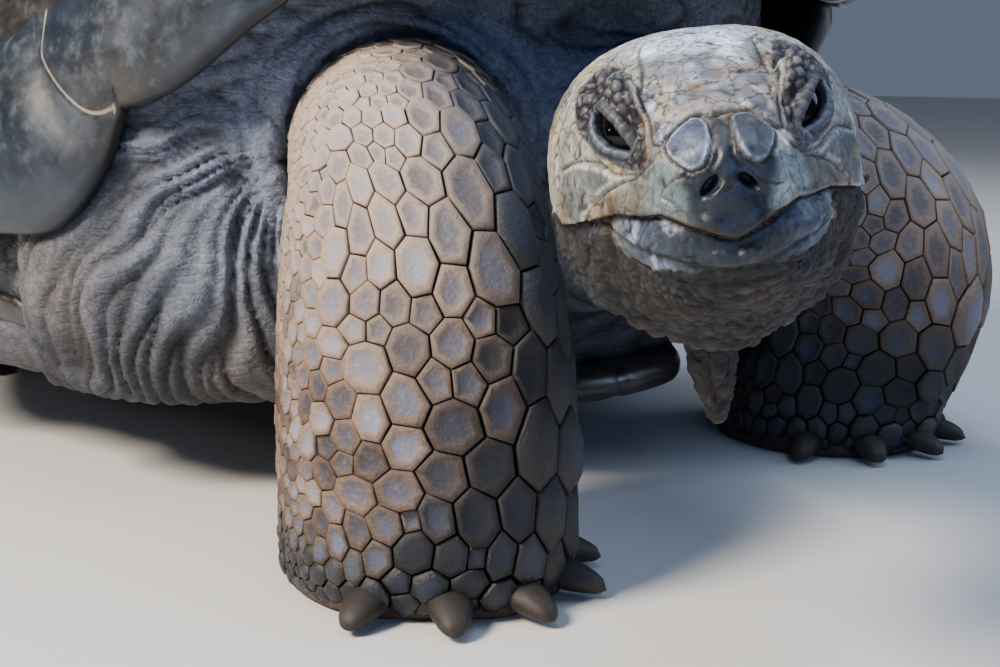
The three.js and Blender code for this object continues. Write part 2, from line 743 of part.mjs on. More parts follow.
function makeSkull() {
  const mirroredToo = ([x, ...rest]) => (x ? [[x, ...rest], [-x, ...rest]] : [[x, ...rest]]);
  const sides = SHIELDS.flatMap(mirroredToo);
  const sites = sides.map(([x, y, z, raise]) => Object.assign(headChart(x, y, z), { raise }));
  const nearest = (p) => {
    const away = (s) => Math.min(...[-1, 0, 1].map((k) => Math.hypot(s.x + k * HEAD_GIRTH - p.x, s.y - p.y)));
    return sites.reduce((a, b) => (away(b) < away(a) ? b : a));
  };
  const raiseAt = (p) => nearest(p).raise;
  return platedTube(headSurface, HEAD_GIRTH, HEAD_LENGTH, sites, { ...HEAD_SCUTE, step: 40 }, raiseAt, 2);
}

// The frame of an eye: x along its opening from the inner corner to the outer, z out of the head.
function eyeFrame(side) {
  const z = EYE.facing.clone().normalize();
  const back = new THREE.Vector3(0, 0, 1).cross(z).normalize();
  const up = z.clone().cross(back);
  const x = back.clone().multiplyScalar(Math.cos(EYE.tilt)).addScaledVector(up, Math.sin(EYE.tilt));
  const y = z.clone().cross(x);
  const place = new THREE.Matrix4().makeBasis(x, y, z).setPosition(EYE.at);
  return new THREE.Matrix4().makeScale(side, 1, 1).multiply(place);
}

function eyeBall(side) {
  const white = new THREE.SphereGeometry(EYE.radius, 13, 9).rotateX(Math.PI / 2);
  return moved(solidOfGeometry(white.applyMatrix4(eyeFrame(side))), HEAD_MATRIX);
}

// Two fleshy lids in one ring round the opening: thick above, thinner below, lying on the eyeball.
function lidRing(side) {
  const [around, across] = [14, 6];
  const frame = eyeFrame(side);
  const rows = Array.from({ length: around }, (_, i) => {
    const turn = (i / around) * 2 * Math.PI;
    const thick = mix(EYE.lowerLid, EYE.upperLid, smooth(Math.sin(turn), -0.4, 0.5));
    const outward = new THREE.Vector3(Math.cos(turn), Math.sin(turn), 0);
    const along = EYE.half + thick * 0.6;
    const above = EYE.half * EYE.open + thick;
    const middle = new THREE.Vector3(outward.x * along, outward.y * above, 0);
    middle.z = Math.sqrt(Math.max(EYE.cornerDepth ** 2, EYE.radius ** 2 - middle.lengthSq()));
    return ringOf(across, (roll) => {
      const p = middle.clone().addScaledVector(outward, thick * Math.cos(roll));
      p.z += thick * Math.sin(roll);
      return p.applyMatrix4(frame);
    });
  });
  return solidOf(rows.flatMap((row, k) => between(row, rows[(k + 1) % around], true)));
}

// The lips' line from the right corner to the left, moved out from the axis by `lift` and down by `drop`.
function mouthPoints(lift, drop) {
  const half = new THREE.CatmullRomCurve3(MOUTH.map((p) => new THREE.Vector3(...p)));
  const points = half.getSpacedPoints(9).map((p) => {
    const out = new THREE.Vector3(p.x, p.y + 30, 0).normalize();
    return p.addScaledVector(out, lift).sub(new THREE.Vector3(0, 0, drop));
  });
  return [...points.slice(1).map((p) => new THREE.Vector3(-p.x, p.y, p.z)).reverse(), ...points];
}

// A wedge that parts the lips: open at the skin, closing to an edge inside.
function mouthWedge(open, deep) {
  const inner = mouthPoints(-deep, 0);
  const rows = mouthPoints(6, 0).map((outer, i) => {
    const up = new THREE.Vector3(0, 0, open / 2);
    return [outer.clone().add(up), outer.clone().sub(up), inner[i].clone()];
  });
  return closedRows(rows);
}

const LOWER_LIP = { thick: 3.6, tall: 6, taper: 6 }; // half sizes, and steps over which its ends thin out
function lowerLip() {
  const inner = mouthPoints(-4, 10);
  const rows = mouthPoints(1, 10).map((outer, i, all) => {
    const fromCorner = Math.min(i, all.length - 1 - i) + 0.8;
    const thin = Math.sin((Math.PI / 2) * Math.min(1, fromCorner / LOWER_LIP.taper));
    const middle = inner[i].clone().lerp(outer, thin);
    const out = outer.clone().sub(inner[i]).normalize();
    return ringOf(5, (roll) => {
      const p = middle.clone().addScaledVector(out, LOWER_LIP.thick * thin * Math.cos(roll));
      p.z += LOWER_LIP.tall * thin * Math.sin(roll);
      return p;
    });
  });
  return closedRows(rows);
}

function ball(at, size) {
  const made = new THREE.SphereGeometry(1, 10, 8).scale(...size).translate(...at);
  return solidOfGeometry(made);
}

function throatFold() {
  return closedRows(
    THROAT.map(([y, top, bottom, half]) =>
      ringOf(8, (roll) => {
        const down = (1 - Math.cos(roll)) / 2;
        const wide = half * (1 - 0.45 * down) * Math.sin(roll);
        return new THREE.Vector3(wide + THROAT_AT * down, y, mix(top, bottom, down));
      }),
    ),
  );
}

function makeHead() {
  const [px, ...prest] = PREFRONTAL.at;
  const extras = [-1, 1].flatMap((side) => [lidRing(side), ball([side * px, ...prest], PREFRONTAL.size)]);
  const whole = [...extras, lowerLip(), throatFold()].reduce((head, extra) => head.add(extra), makeSkull());
  const pitSize = [NOSTRIL.radius * 0.8, NOSTRIL.deep, NOSTRIL.radius * 1.3];
  const pit = (side) => ball([side * NOSTRIL.x, NOSTRIL.y, NOSTRIL.z], pitSize);
  const holes = [mouthWedge(MOUTH_CUT.open, MOUTH_CUT.deep), pit(-1), pit(1)];
  const cut = holes.reduce((head, hole) => head.subtract(hole), whole);
  return moved(largest(cut), HEAD_MATRIX);
}

// What the neck has to leave clear: the skull a little larger, and the fold under the throat.
const HEAD_ROOM = 2.4; // how far the skull's highest shields stand out, and a little air
function headRoom() {
  const columns = 20;
  const at = (roll, share) => headSurface((roll / (2 * Math.PI)) * HEAD_GIRTH, share * HEAD_LENGTH, HEAD_ROOM);
  const rings = [0, 0.3, 0.5, 0.65, 0.8, 0.9, 1].map((share) => ringOf(columns, (roll) => at(roll, share)));
  rings.push(rings.at(-1).map((p) => new THREE.Vector3(p.x, p.y + 2 * GAP, p.z)));
  return moved(closedRows(rings).add(grown(throatFold(), GAP)), HEAD_MATRIX);
}

// ---------------------------------------------------------------- claws
const CLAW = { length: 50, wide: 14, thick: 12, rootHeight: 18, tipHeight: 8, clear: 2, rooted: 0.42 };

// A blunt horn nail out of the foot's edge, `heading` from the front, that slopes down to just off the floor.
function clawSolid(foot, heading) {
  const [x, y, , side, front] = foot[1];
  const nail = new THREE.ConeGeometry(CLAW.wide, CLAW.length, 7, 3);
  const at = nail.attributes.position;
  for (let i = 0; i < at.count; i++) {
    const share = at.getY(i) / CLAW.length + 0.5;
    const full = Math.sqrt(1 - share * share) / Math.max(0.001, 1 - share); // rounds the cone off
    const middle = mix(CLAW.rootHeight, CLAW.tipHeight, share ** 1.5);
    const up = at.getZ(i) * full * (CLAW.thick / CLAW.wide) + middle;
    at.setXYZ(i, at.getX(i) * full, (CLAW.rooted - share) * CLAW.length, Math.max(up, CLAW.clear));
  }
  nail.rotateZ(heading);
  nail.translate(x + Math.sin(heading) * side, y - Math.cos(heading) * front, 0);
  return solidOfGeometry(nail);
}

// ---------------------------------------------------------------- the whole animal
const finish = (color, roughness) => new THREE.MeshStandardMaterial({ color, roughness, metalness: 0 });
const HORN = finish(0x3f464b, 0.45);
const BELLY_HORN = finish(0x5b5347, 0.6);
const SKIN = finish(0x5f5852, 0.8);
const SCALED = finish(0x84735f, 0.75);
const FACE = finish(0x8c8878, 0.6);
const WET_EYE = finish(0x120c08, 0.08);
const NAIL = finish(0x2f2c2a, 0.5);

const tortoise = new THREE.Group();
const add = (name, solid, material) => tortoise.add(meshOf(name, solid, material));

const carapace = makeCarapace();
const carapaceRoom = grown(carapace, GAP);
const plastron = largest(makePlastron().subtract(carapaceRoom));
const shellRoom = carapaceRoom.add(grown(makePlastron(), GAP));
const rawTorso = makeTorso();
const torso = largest(rawTorso.subtract(shellRoom));
const bodyRoom = grown(rawTorso, GAP).add(shellRoom);

add("carapace", carapace, HORN);
add("plastron", plastron, BELLY_HORN);
add("torso", torso, SKIN);

const LEGS = [
  // [name, stations, headings of the toes, size of the scales]
  ["foreleg_right", FORELEG_RIGHT, [-62, -31, 0, 31, 62], 1],
  ["foreleg_left", FORELEG_LEFT, [-62, -31, 0, 31, 62], 1],
  ["hindleg_right", mirrored(HINDLEG), [-48, -16, 16, 48], 1.5],
  ["hindleg_left", HINDLEG, [-48, -16, 16, 48], 1.5],
];
for (const [name, stations, toes, scale] of LEGS) {
  const claws = toes.map((heading) => clawSolid(stations, heading * DEG));
  const whole = makeLeg(stations, scale).subtract(bodyRoom);
  add(name, largest(claws.reduce((leg, claw) => leg.subtract(grown(claw, GAP)), whole)), SCALED);
  claws.forEach((claw, i) => add(`${name}_claw_${i + 1}`, claw, NAIL));
}

const wholeHead = makeHead();
const eyes = [-1, 1].map((side) => eyeBall(side));
const head = largest(eyes.reduce((skull, eye) => skull.subtract(grown(eye, GAP)), wholeHead));
const neck = makeTube(NECK, 20, 11, withDewlap);
add("head", head, FACE);
add("eye_right", eyes[0], WET_EYE);
add("eye_left", eyes[1], WET_EYE);
add("neck", largest(neck.subtract(bodyRoom).subtract(headRoom())), SKIN);
add("tail", largest(makeTube(TAIL, 14, 9).subtract(bodyRoom)), SKIN);

// The middle of the whole animal's length stands over the origin.
tortoise.position.y = -FORWARD;

export default tortoise;
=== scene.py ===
# %% [markdown]
# # A giant tortoise, from solids to living surface
# The solids give the animal's size and stance. This lesson puts on what the eye sees: hide that creases,
# horny scales on the legs, a polished shell, a face of smooth shields, wrinkled lids and wet eyes.
# Everything is worked out in millimetres round the middle of the shell, the animal facing -Y, and is put
# into Blender's metres at the last moment.

# %% Load the solids
import math
from itertools import product

import bpy
import numpy as np
from mathutils.bvhtree import BVHTree
from mathutils.geometry import delaunay_2d_cdt
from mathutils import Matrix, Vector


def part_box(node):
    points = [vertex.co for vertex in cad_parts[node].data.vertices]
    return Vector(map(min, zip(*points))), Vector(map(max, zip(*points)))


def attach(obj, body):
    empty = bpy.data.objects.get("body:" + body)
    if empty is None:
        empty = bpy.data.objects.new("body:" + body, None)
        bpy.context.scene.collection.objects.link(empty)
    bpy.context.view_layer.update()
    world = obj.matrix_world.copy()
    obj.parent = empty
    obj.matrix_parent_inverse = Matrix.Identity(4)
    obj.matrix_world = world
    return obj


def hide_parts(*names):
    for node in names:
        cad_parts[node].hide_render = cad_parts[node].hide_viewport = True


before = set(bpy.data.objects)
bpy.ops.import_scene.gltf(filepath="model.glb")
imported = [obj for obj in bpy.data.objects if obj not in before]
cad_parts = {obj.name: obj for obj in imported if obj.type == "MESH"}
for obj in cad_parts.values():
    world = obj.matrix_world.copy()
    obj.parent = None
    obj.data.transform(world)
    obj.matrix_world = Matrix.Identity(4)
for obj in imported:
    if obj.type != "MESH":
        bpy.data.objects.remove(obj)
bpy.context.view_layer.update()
MM = 0.001
low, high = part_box("carapace")
SHELL_MIDDLE = np.array([0.0, (low.y + high.y) / 2, 0.0])
print("nodes", len(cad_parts), "middle of the shell", SHELL_MIDDLE.round(4))

# %% [markdown]
# ## The camera
# The camera stands low and near, as a keeper would crouch before the animal, and looks a little down. It
# comes before the pieces, because the finest meshes are spent where it looks.

# %% Camera
CAMERA_PLACE = (-0.875, -1.2206, 0.35)
CAMERA_DOWN = 10.3  # degrees below the horizon
CAMERA_TURN = -40  # degrees from looking along +Y
LENS = 54  # millimetres, on a sensor 36 wide

camera_data = bpy.data.cameras.new("camera")
camera_data.lens = LENS
camera_data.clip_end = 50
camera = bpy.data.objects.new("camera", camera_data)
camera.location = CAMERA_PLACE
camera.rotation_euler = (math.radians(90 - CAMERA_DOWN), 0, math.radians(CAMERA_TURN))
bpy.context.scene.collection.objects.link(camera)
bpy.context.scene.camera = camera


# %% [markdown]
# ## Light and floor
# A warm key lamp stands high on the left, and a large cool one hangs overhead like the sky. A weaker lamp
# fills the right, a low one in front opens the shadows, a small one puts the glint in the eyes, and one
# behind picks out the edge of the shell. The floor is a plain pale sheet that runs out of sight.

# %% Colours, nodes and materials
def linear(hex_colour):
    """An sRGB colour such as '#a0b0c0' as the linear red, green and blue that Blender works with."""
    parts = [int(hex_colour[i : i + 2], 16) / 255 for i in (1, 3, 5)]
    return np.array([c / 12.92 if c <= 0.04045 else ((c + 0.055) / 1.055) ** 2.4 for c in parts])


def rgba(hex_colour):
    return (*linear(hex_colour), 1.0)


def node(tree, kind, *values, **named):
    """Adds a node, or takes one that is there, and feeds its inputs, in their order or by name.

    A kind is a type, or a type and its settings. A value is a number, a colour, a socket, or a node, which
    stands for its first output.
    """
    if isinstance(kind, bpy.types.Node):
        made = kind
    else:
        kind, settings = (kind, {}) if isinstance(kind, str) else kind
        made = tree.nodes.new(kind)
        for name, value in settings.items():
            setattr(made, name, value)
    sockets = [s for s in made.inputs if s.enabled]
    fed = list(zip(sockets, values))
    for name, value in named.items():
        fed.append((next(s for s in sockets if s.name == name.replace("_", " ")), value))
    for socket, value in fed:
        if isinstance(value, bpy.types.Node):
            value = next(s for s in value.outputs if s.enabled)
        if isinstance(value, bpy.types.NodeSocket):
            tree.links.new(value, socket)
        else:
            socket.default_value = value
    return made


def new_material(name, **fixed):
    """A material with one Principled shader; fixed values go straight to its sockets."""
    material = bpy.data.materials.new(name)
    material.use_nodes = True
    shader = material.node_tree.nodes["Principled BSDF"]
    node(material.node_tree, shader, **fixed)
    return material, material.node_tree, shader


# %% Lamps and floor
LAMPS = {
    # name: (place, aim, width, watts, colour)
    "key": ((-2.5, -0.3, 2.1), (-0.3, -0.6, 0.2), 0.9, 230, "#fff1e0"),
    "sky": ((-0.15, -0.7, 2.9), (-0.15, -0.55, 0.3), 2.0, 46, "#c4dcff"),
    "fill": ((2.0, -1.7, 1.7), (0.1, -0.55, 0.25), 1.4, 30, "#c3d6f5"),
    "front": ((-0.9, -2.3, 0.75), (0.05, -0.3, 0.42), 0.7, 8, "#8db3ff"),
    "glint": ((-1.65, 0.2, 0.6), (-0.37, -0.71, 0.32), 0.12, 1.2, "#eef4ff"),
    "back": ((1.2, 2.1, 2.2), (0.0, 0.1, 0.3), 1.6, 40, "#eef4ff"),
}
WORLD_COLOUR, WORLD_STRENGTH = "#b5c8ea", 0.26
FLOOR_HALF = 12.0

for name, (place, aim, width, watts, colour) in LAMPS.items():
    lamp_data = bpy.data.lights.new(name, "AREA")
    lamp_data.size = width
    lamp_data.energy = watts
    lamp_data.color = linear(colour)
    lamp = bpy.data.objects.new(name, lamp_data)
    lamp.location = place
    x, y, z = np.array(aim) - np.array(place)
    lamp.rotation_euler = (math.atan2(math.hypot(x, y), -z), 0, math.atan2(-x, y))
    bpy.context.scene.collection.objects.link(lamp)

world = bpy.data.worlds.new("studio")
world.use_nodes = True
node(world.node_tree, world.node_tree.nodes["Background"], rgba(WORLD_COLOUR), WORLD_STRENGTH)
bpy.context.scene.world = world

floor_material, _, _ = new_material("floor_paper", Base_Color=rgba("#c6c5c1"), Roughness=0.85)
floor_mesh = bpy.data.meshes.new("floor")
floor_corners = [(x * FLOOR_HALF, y * FLOOR_HALF, 0) for x, y in ((-1, -1), (1, -1), (1, 1), (-1, 1))]
floor_mesh.from_pydata(floor_corners, [], [(0, 1, 2, 3)])
floor_mesh.materials.append(floor_material)
floor = bpy.data.objects.new("floor", floor_mesh)
bpy.context.scene.collection.objects.link(floor)
print("lamps", sorted(LAMPS))


# %% [markdown]
# ## Small maths on many points
# All forms are worked out on whole arrays of points at once. Two kinds of noise do most of the natural
# unevenness: a wavy one that rises and falls smoothly, and a cellular one that gives each point the
# distance to its nearest centres, which is how granules and pebbled skin look.

# %% Mixing, noise and cells
def smoothstep(value, start, end):
    share = np.clip((value - start) / (end - start), 0, 1)
    return share * share * (3 - 2 * share)


def fade(value, start, end):
    return 1 - smoothstep(value, start, end)


def mix(a, b, share):
    return a + (b - a) * share


def bell(value, middle, width):
    return np.exp(-(((value - middle) / width) ** 2))


def soft_min(a, b, reach):
    share = np.clip(0.5 + 0.5 * (b - a) / reach, 0, 1)
    return mix(b, a, share) - reach * share * (1 - share)


def soft_max(a, b, reach):
    return -soft_min(-a, -b, reach)


def scatter(cell, seed):
    """Three numbers from -1 to 1 for each cell of a lattice, always the same for one cell and seed."""
    a, b, c = cell.astype(np.int64).astype(np.uint32).T
    mixed = a * np.uint32(73856093) ^ b * np.uint32(19349663) ^ c * np.uint32(83492791)
    mixed = mixed ^ np.uint32((seed * 2654435761 + 97) % 2**32)
    for shift, factor in ((15, 2246822519), (13, 3266489917)):
        mixed = (mixed ^ (mixed >> np.uint32(shift))) * np.uint32(factor)
    mixed = mixed ^ (mixed >> np.uint32(16))
    parts = [(mixed >> np.uint32(shift)) & np.uint32(1023) for shift in (0, 10, 20)]
    return np.stack(parts, 1) / 511.5 - 1


def noise(points, size, seed=0):
    """Smooth noise from about -1 to 1 whose humps are about `size` apart; size may differ by direction."""
    p = points / size
    base = np.floor(p)
    part = p - base
    ease = part**3 * (part * (part * 6 - 15) + 10)
    total = np.zeros(len(p))
    for corner in product((0, 1), repeat=3):
        slope = scatter(base + corner, seed)
        weight = np.prod(np.where(corner, ease, 1 - ease), axis=1)
        total += ((part - corner) * slope).sum(1) * weight
    return total * 1.3


def layered(points, size, seed=0, layers=3):
    return sum(noise(points, np.asarray(size) / 2**k, seed + k) / 2**k for k in range(layers))


def cells(points, size, seed=0):
    """For each point: how far the nearest and the next centre are, in cells, and the cell's own number."""
    p = points / size
    base = np.floor(p)
    first = np.full(len(p), 9.0)
    second = first.copy()
    own = np.zeros(len(p))
    for offset in product((-1, 0, 1), repeat=3):
        cell = base + offset
        spread = scatter(cell, seed)
        away = np.linalg.norm(cell + 0.5 + spread * 0.45 - p, axis=1)
        nearer = away < first
        second = np.where(nearer, first, np.minimum(second, away))
        own = np.where(nearer, spread[:, 0] * 0.5 + 0.5, own)
        first = np.where(nearer, away, first)
    return first, second, own


def curve_through(rows, per_span=8, closed=False):
    """A smooth curve through rows of numbers, as more rows."""
    p = np.asarray(rows, float)
    if closed:
        p = np.vstack([p[-1:], p, p[:2]])
    else:
        p = np.vstack([2 * p[:1] - p[1:2], p, 2 * p[-1:] - p[-2:-1]])
    made = []
    for a, b, c, d in zip(p, p[1:], p[2:], p[3:]):
        slope, bend, twist = c - a, 2 * a - 5 * b + 4 * c - d, 3 * b - a - 3 * c + d
        for t in np.arange(per_span) / per_span:
            made.append(0.5 * (2 * b + slope * t + bend * t**2 + twist * t**3))
    if not closed:
        made.append(p[-2])
    return np.array(made)


# %% [markdown]
# ## Flesh as a field
# Flesh has no edges of its own: a leg runs into the shoulder, the neck into the chest. So the flesh is a
# field, a function that says how far inside or outside a point is, and forms are blended by a soft
# minimum. The surface where the field is zero is then meshed by surface nets: one point for each small
# cube that the surface passes through. Modelling by hand with a remesh would do too, but a field keeps
# every size a named value.

# %% Meshing a field
BLOCK = 4  # the field is first looked at block by block, and finely only near the surface


def sampled(field, lowest, highest, step):
    blocks = np.ceil((highest - lowest) / (BLOCK * step)).astype(int)
    grid = np.indices(blocks).reshape(3, -1).T
    rough = field(lowest + ((grid + 0.5) * BLOCK - 0.5) * step)
    values = rough.reshape(blocks)
    for axis in range(3):
        values = np.repeat(values, BLOCK, axis=axis)
    near = grid[np.abs(rough) < BLOCK * step * 1.7]
    inner = np.indices((BLOCK, BLOCK, BLOCK)).reshape(3, -1).T
    for part in np.array_split(near, max(1, len(near) // 6000)):
        ijk = (part[:, None, :] * BLOCK + inner).reshape(-1, 3)
        values[tuple(ijk.T)] = field(lowest + ijk * step)
    return values


def surface_nets(values, lowest, step):
    inside = values < 0
    corners = list(product((0, 1), repeat=3))
    count = sum(inside[tuple(slice(c, c - 1 or None) for c in corner)].astype(np.int8) for corner in corners)
    cube = np.argwhere((count > 0) & (count < 8))
    number = np.full(count.shape, -1, np.int64)
    number[tuple(cube.T)] = np.arange(len(cube))
    middle = np.zeros((len(cube), 3))
    crossed = np.zeros(len(cube))
    for corner in corners:
        for axis in range(3):
            if corner[axis]:
                continue
            start = np.array(corner)
            end = start + np.eye(3, dtype=int)[axis]
            a, b = values[tuple((cube + start).T)], values[tuple((cube + end).T)]
            cut = (a < 0) != (b < 0)
            share = np.where(cut, a / np.where(cut, a - b, 1), 0)
            middle += np.where(cut[:, None], start + share[:, None] * (end - start), 0)
            crossed += cut
    points = lowest + (cube + middle / crossed[:, None]) * step
    quads = []
    for axis in range(3):
        one, two = np.eye(3, dtype=int)[(axis + 1) % 3], np.eye(3, dtype=int)[(axis + 2) % 3]
        ahead = np.roll(inside, -1, axis=axis)
        changes = inside != ahead
        keep = [slice(1, -1)] * 3
        keep[axis] = slice(0, -1)
        edge = np.argwhere(changes[tuple(keep)]) + [s.start for s in keep]
        ring = np.stack([number[tuple((edge - off).T)] for off in (one + two, two, 0 * one, one)], 1)
        leaving = inside[tuple(edge.T)]
        quads.append(np.where(leaving[:, None], ring, ring[:, ::-1]))
    return points, np.concatenate(quads)


def normals_of(points, quads):
    across = points[quads[:, 2]] - points[quads[:, 0]]
    along = points[quads[:, 3]] - points[quads[:, 1]]
    face = np.cross(across, along)
    total = np.zeros_like(points)
    for axis in range(3):
        for corner in range(4):
            total[:, axis] += np.bincount(quads[:, corner], face[:, axis], len(points))
    return total / np.maximum(np.linalg.norm(total, axis=1), 1e-12)[:, None]


def open_edges(quads):
    """The edges with a face on one side only, each in the direction that its face runs."""
    edge = np.concatenate([quads[:, [k, (k + 1) % quads.shape[1]]] for k in range(quads.shape[1])])
    key = np.sort(edge, axis=1)
    _, first, counts = np.unique(key, axis=0, return_index=True, return_counts=True)
    return edge[first[counts == 1]]


def closed_with_fans(points, quads):
    """Shuts each open border with a fan to its middle. The borders lie hidden under the neighbouring skin."""
    edges = open_edges(quads)
    follow = {int(a): int(b) for a, b in edges}
    fans = []
    while follow:
        start, loop = next(iter(follow)), []
        at = start
        while at in follow:
            loop.append(at)
            at = follow.pop(at)
        middle = len(points)
        points = np.vstack([points, points[loop].mean(0)])
        fans += [(b, a, middle) for a, b in zip(loop, loop[1:] + loop[:1])]
    return points, quads.tolist() + fans


def tube_faces(rows, columns):
    """The faces of a closed tube: rows of points that join up sideways, then a point for each of its ends."""
    faces = []
    for row, column in product(range(rows - 1), range(columns)):
        a, b = row * columns + column, row * columns + (column + 1) % columns
        faces.append((a, a + columns, b + columns, b))
    end, last = rows * columns, (rows - 1) * columns
    for column in range(columns):
        after = (column + 1) % columns
        faces += [(end, column, after), (end + 1, last + after, last + column)]
    return faces


def new_piece(name, points, faces, material, marks):
    """A mesh object from millimetres round the middle of the shell, with its marks as point attributes."""
    mesh = bpy.data.meshes.new(name)
    placed = points * MM + SHELL_MIDDLE
    mesh.from_pydata(placed.tolist(), [], faces if isinstance(faces, list) else faces.tolist())
    for mark, values in marks.items():
        kind, field = ("FLOAT_VECTOR", "vector") if values.ndim == 2 else ("FLOAT", "value")
        attribute = mesh.attributes.new(mark, kind, "POINT")
        full = np.zeros((len(points), *values.shape[1:]), np.float32)
        full[: len(values)] = values
        attribute.data.foreach_set(field, full.ravel())
    mesh.polygons.foreach_set("use_smooth", np.full(len(mesh.polygons), True))
    mesh.materials.append(material)
    mesh.update()
    piece = bpy.data.objects.new(name, mesh)
    bpy.context.scene.collection.objects.link(piece)
    print(name, "points", len(mesh.vertices), "faces", len(mesh.polygons))
    return piece


def dressed(piece, slot, *nodes):
    """Fixes a piece to the root and hides the solids that it stands for; the slot is not used."""
    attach(piece, "root")
    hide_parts(*nodes)


# %% [markdown]
# ## The hide's finish
# A tortoise's skin is dry, keratinised hide: matt grey with a dusty brown bloom and a pebbled grain of 2 to
# 4 millimetres; its folds are painted nearly black as shade. The face's shields are the same keratin grown
# thick and smooth, so they shine a little and carry fine cracks instead of grain. One material makes both,
# told apart by marks on the points: `tint` is a region's broad colour, `crease` how deep in a fold or how
# near a seam a point lies, which is painted as shade in the folds and as the seams' own dark line, `horn`
# how smooth and hard it is, `streaky` how strongly it is streaked downwards, `granular` where granules lie,
# `to_next` how much nearer the own granule is than the next, and `fissured` where the horn is cracked.

# %% Kinds of node, and the hide
MARK = "ShaderNodeAttribute"
NOISE = "ShaderNodeTexNoise"  # place, scale, detail, roughness
EDGES = ("ShaderNodeTexVoronoi", {"feature": "DISTANCE_TO_EDGE"})  # place, scale
RAMP = ("ShaderNodeMapRange", {"clamp": True})  # value, from, to, and what it gives at each
BLEND = ("ShaderNodeMix", {"data_type": "RGBA"})  # share, one colour, the other
MULTIPLIED = ("ShaderNodeMix", {"data_type": "RGBA", "blend_type": "MULTIPLY"})
TIMES, PLUS, MINUS, OVER, LEAST, TIMES_PLUS = (
    ("ShaderNodeMath", {"operation": name})
    for name in ("MULTIPLY", "ADD", "SUBTRACT", "DIVIDE", "MINIMUM", "MULTIPLY_ADD")
)


def per_mm(spacing):
    """The scale of a texture whose pattern repeats about every `spacing` millimetres."""
    return 1 / (spacing * MM)


hide, tree, shader = new_material("dry_keratin_hide", IOR=1.5, Specular_IOR_Level=0.36)
place = node(tree, "ShaderNodeTexCoord").outputs["Object"]
tint = node(tree, (MARK, {"attribute_name": "tint"})).outputs["Vector"]
crease, horn, streaky, granular, to_next, fissured = (
    node(tree, (MARK, {"attribute_name": mark})).outputs["Fac"]
    for mark in ("crease", "horn", "streaky", "granular", "to_next", "fissured")
)
soft_skin = node(tree, MINUS, 1.0, horn)
mottle = node(tree, NOISE, place, per_mm(38), 5.0, 0.62)
fine = node(tree, NOISE, place, per_mm(5), 4.0, 0.7)
grain = node(tree, EDGES, place, per_mm(3.2))
stretched = node(tree, "ShaderNodeMapping", place, Scale=(1.0, 1.0, 0.28))
streak = node(tree, NOISE, stretched, per_mm(2.4), 5.0, 0.75)
crack = node(tree, EDGES, stretched, per_mm(8))
lying = node(tree, "ShaderNodeMapping", place, Scale=(per_mm(17), per_mm(17), per_mm(8)))
web = node(tree, EDGES, lying, 1.0)
swung = ("ShaderNodeVectorMath", {"operation": "MULTIPLY_ADD"})
wandering = node(tree, swung, mottle.outputs["Color"], (0.03, 0.03, 0.03), place)
fissure = node(tree, EDGES, wandering, per_mm(15))
broken = node(tree, TIMES, node(tree, RAMP, fine, 0.34, 0.5), fissured)

colour = node(tree, MULTIPLIED, 1.0, tint, node(tree, RAMP, mottle, 0.3, 0.7, 0.58, 1.4))
colour = node(tree, MULTIPLIED, 0.9, colour, node(tree, RAMP, fine, 0.32, 0.68, 0.6, 1.35))
LAYERS = (
    # texture, from, to, share at each, where on the animal, colour
    (grain, 0.0, 0.2, 0.15, 0.0, soft_skin, "#1f1b19"),
    (web, 0.0, 0.08, 0.16, 0.0, soft_skin, "#191615"),
    (to_next, 0.1, 0.32, 0.92, 0.0, granular, "#0b0a0b"),
    (streak, 0.5, 0.75, 0.0, 0.42, streaky, "#cfcdc3"),
    (streak, 0.3, 0.47, 0.6, 0.0, streaky, "#4a453c"),
    (crack, 0.0, 0.035, 0.4, 0.0, streaky, "#2a251f"),
    (fissure, 0.006, 0.042, 0.88, 0.0, broken, "#14110f"),
)
for texture, start, end, at_start, at_end, where, paint in LAYERS:
    share = node(tree, TIMES, node(tree, RAMP, texture, start, end, at_start, at_end), where)
    colour = node(tree, BLEND, share, colour, rgba(paint))
# Painted shade in the folds and in the eye's opening, and the dark lines of seams, cracks and granules, all
# from the mark crease.
colour = node(tree, BLEND, crease, colour, rgba("#15110f"))

rough = node(tree, TIMES_PLUS, horn, -0.29, 0.7)
rough = node(tree, PLUS, rough, node(tree, RAMP, fine, 0.3, 0.7, -0.08, 0.1))
skin_height = node(tree, TIMES, node(tree, RAMP, grain, 0.0, 0.3), soft_skin)
wrinkle_height = node(tree, TIMES, node(tree, RAMP, web, 0.0, 0.16), soft_skin)
horn_height = node(tree, TIMES, node(tree, PLUS, streak, node(tree, RAMP, crack, 0.0, 0.05)), streaky)
bump = {}
for strength, mm, height in (
    (0.3, 0.8, skin_height), (0.35, 1.2, wrinkle_height), (0.35, 0.7, horn_height), (0.4, 0.8, fine),
):
    bump = {"Normal": node(tree, "ShaderNodeBump", Strength=strength, Distance=mm * MM, Height=height, **bump)}
node(tree, shader, Base_Color=colour, Roughness=rough, **bump)
print("hide nodes", len(tree.nodes))

# %% [markdown]
# ## Legs, neck, tail and body as fields
# A limb is a row of stations along its core: a place, and the half widths to the side and to the front.
# The legs are drawn in by the depth of the scales, which are laid on later. The body fills the shell's
# openings, and hangs in a loose pouch behind each arm.

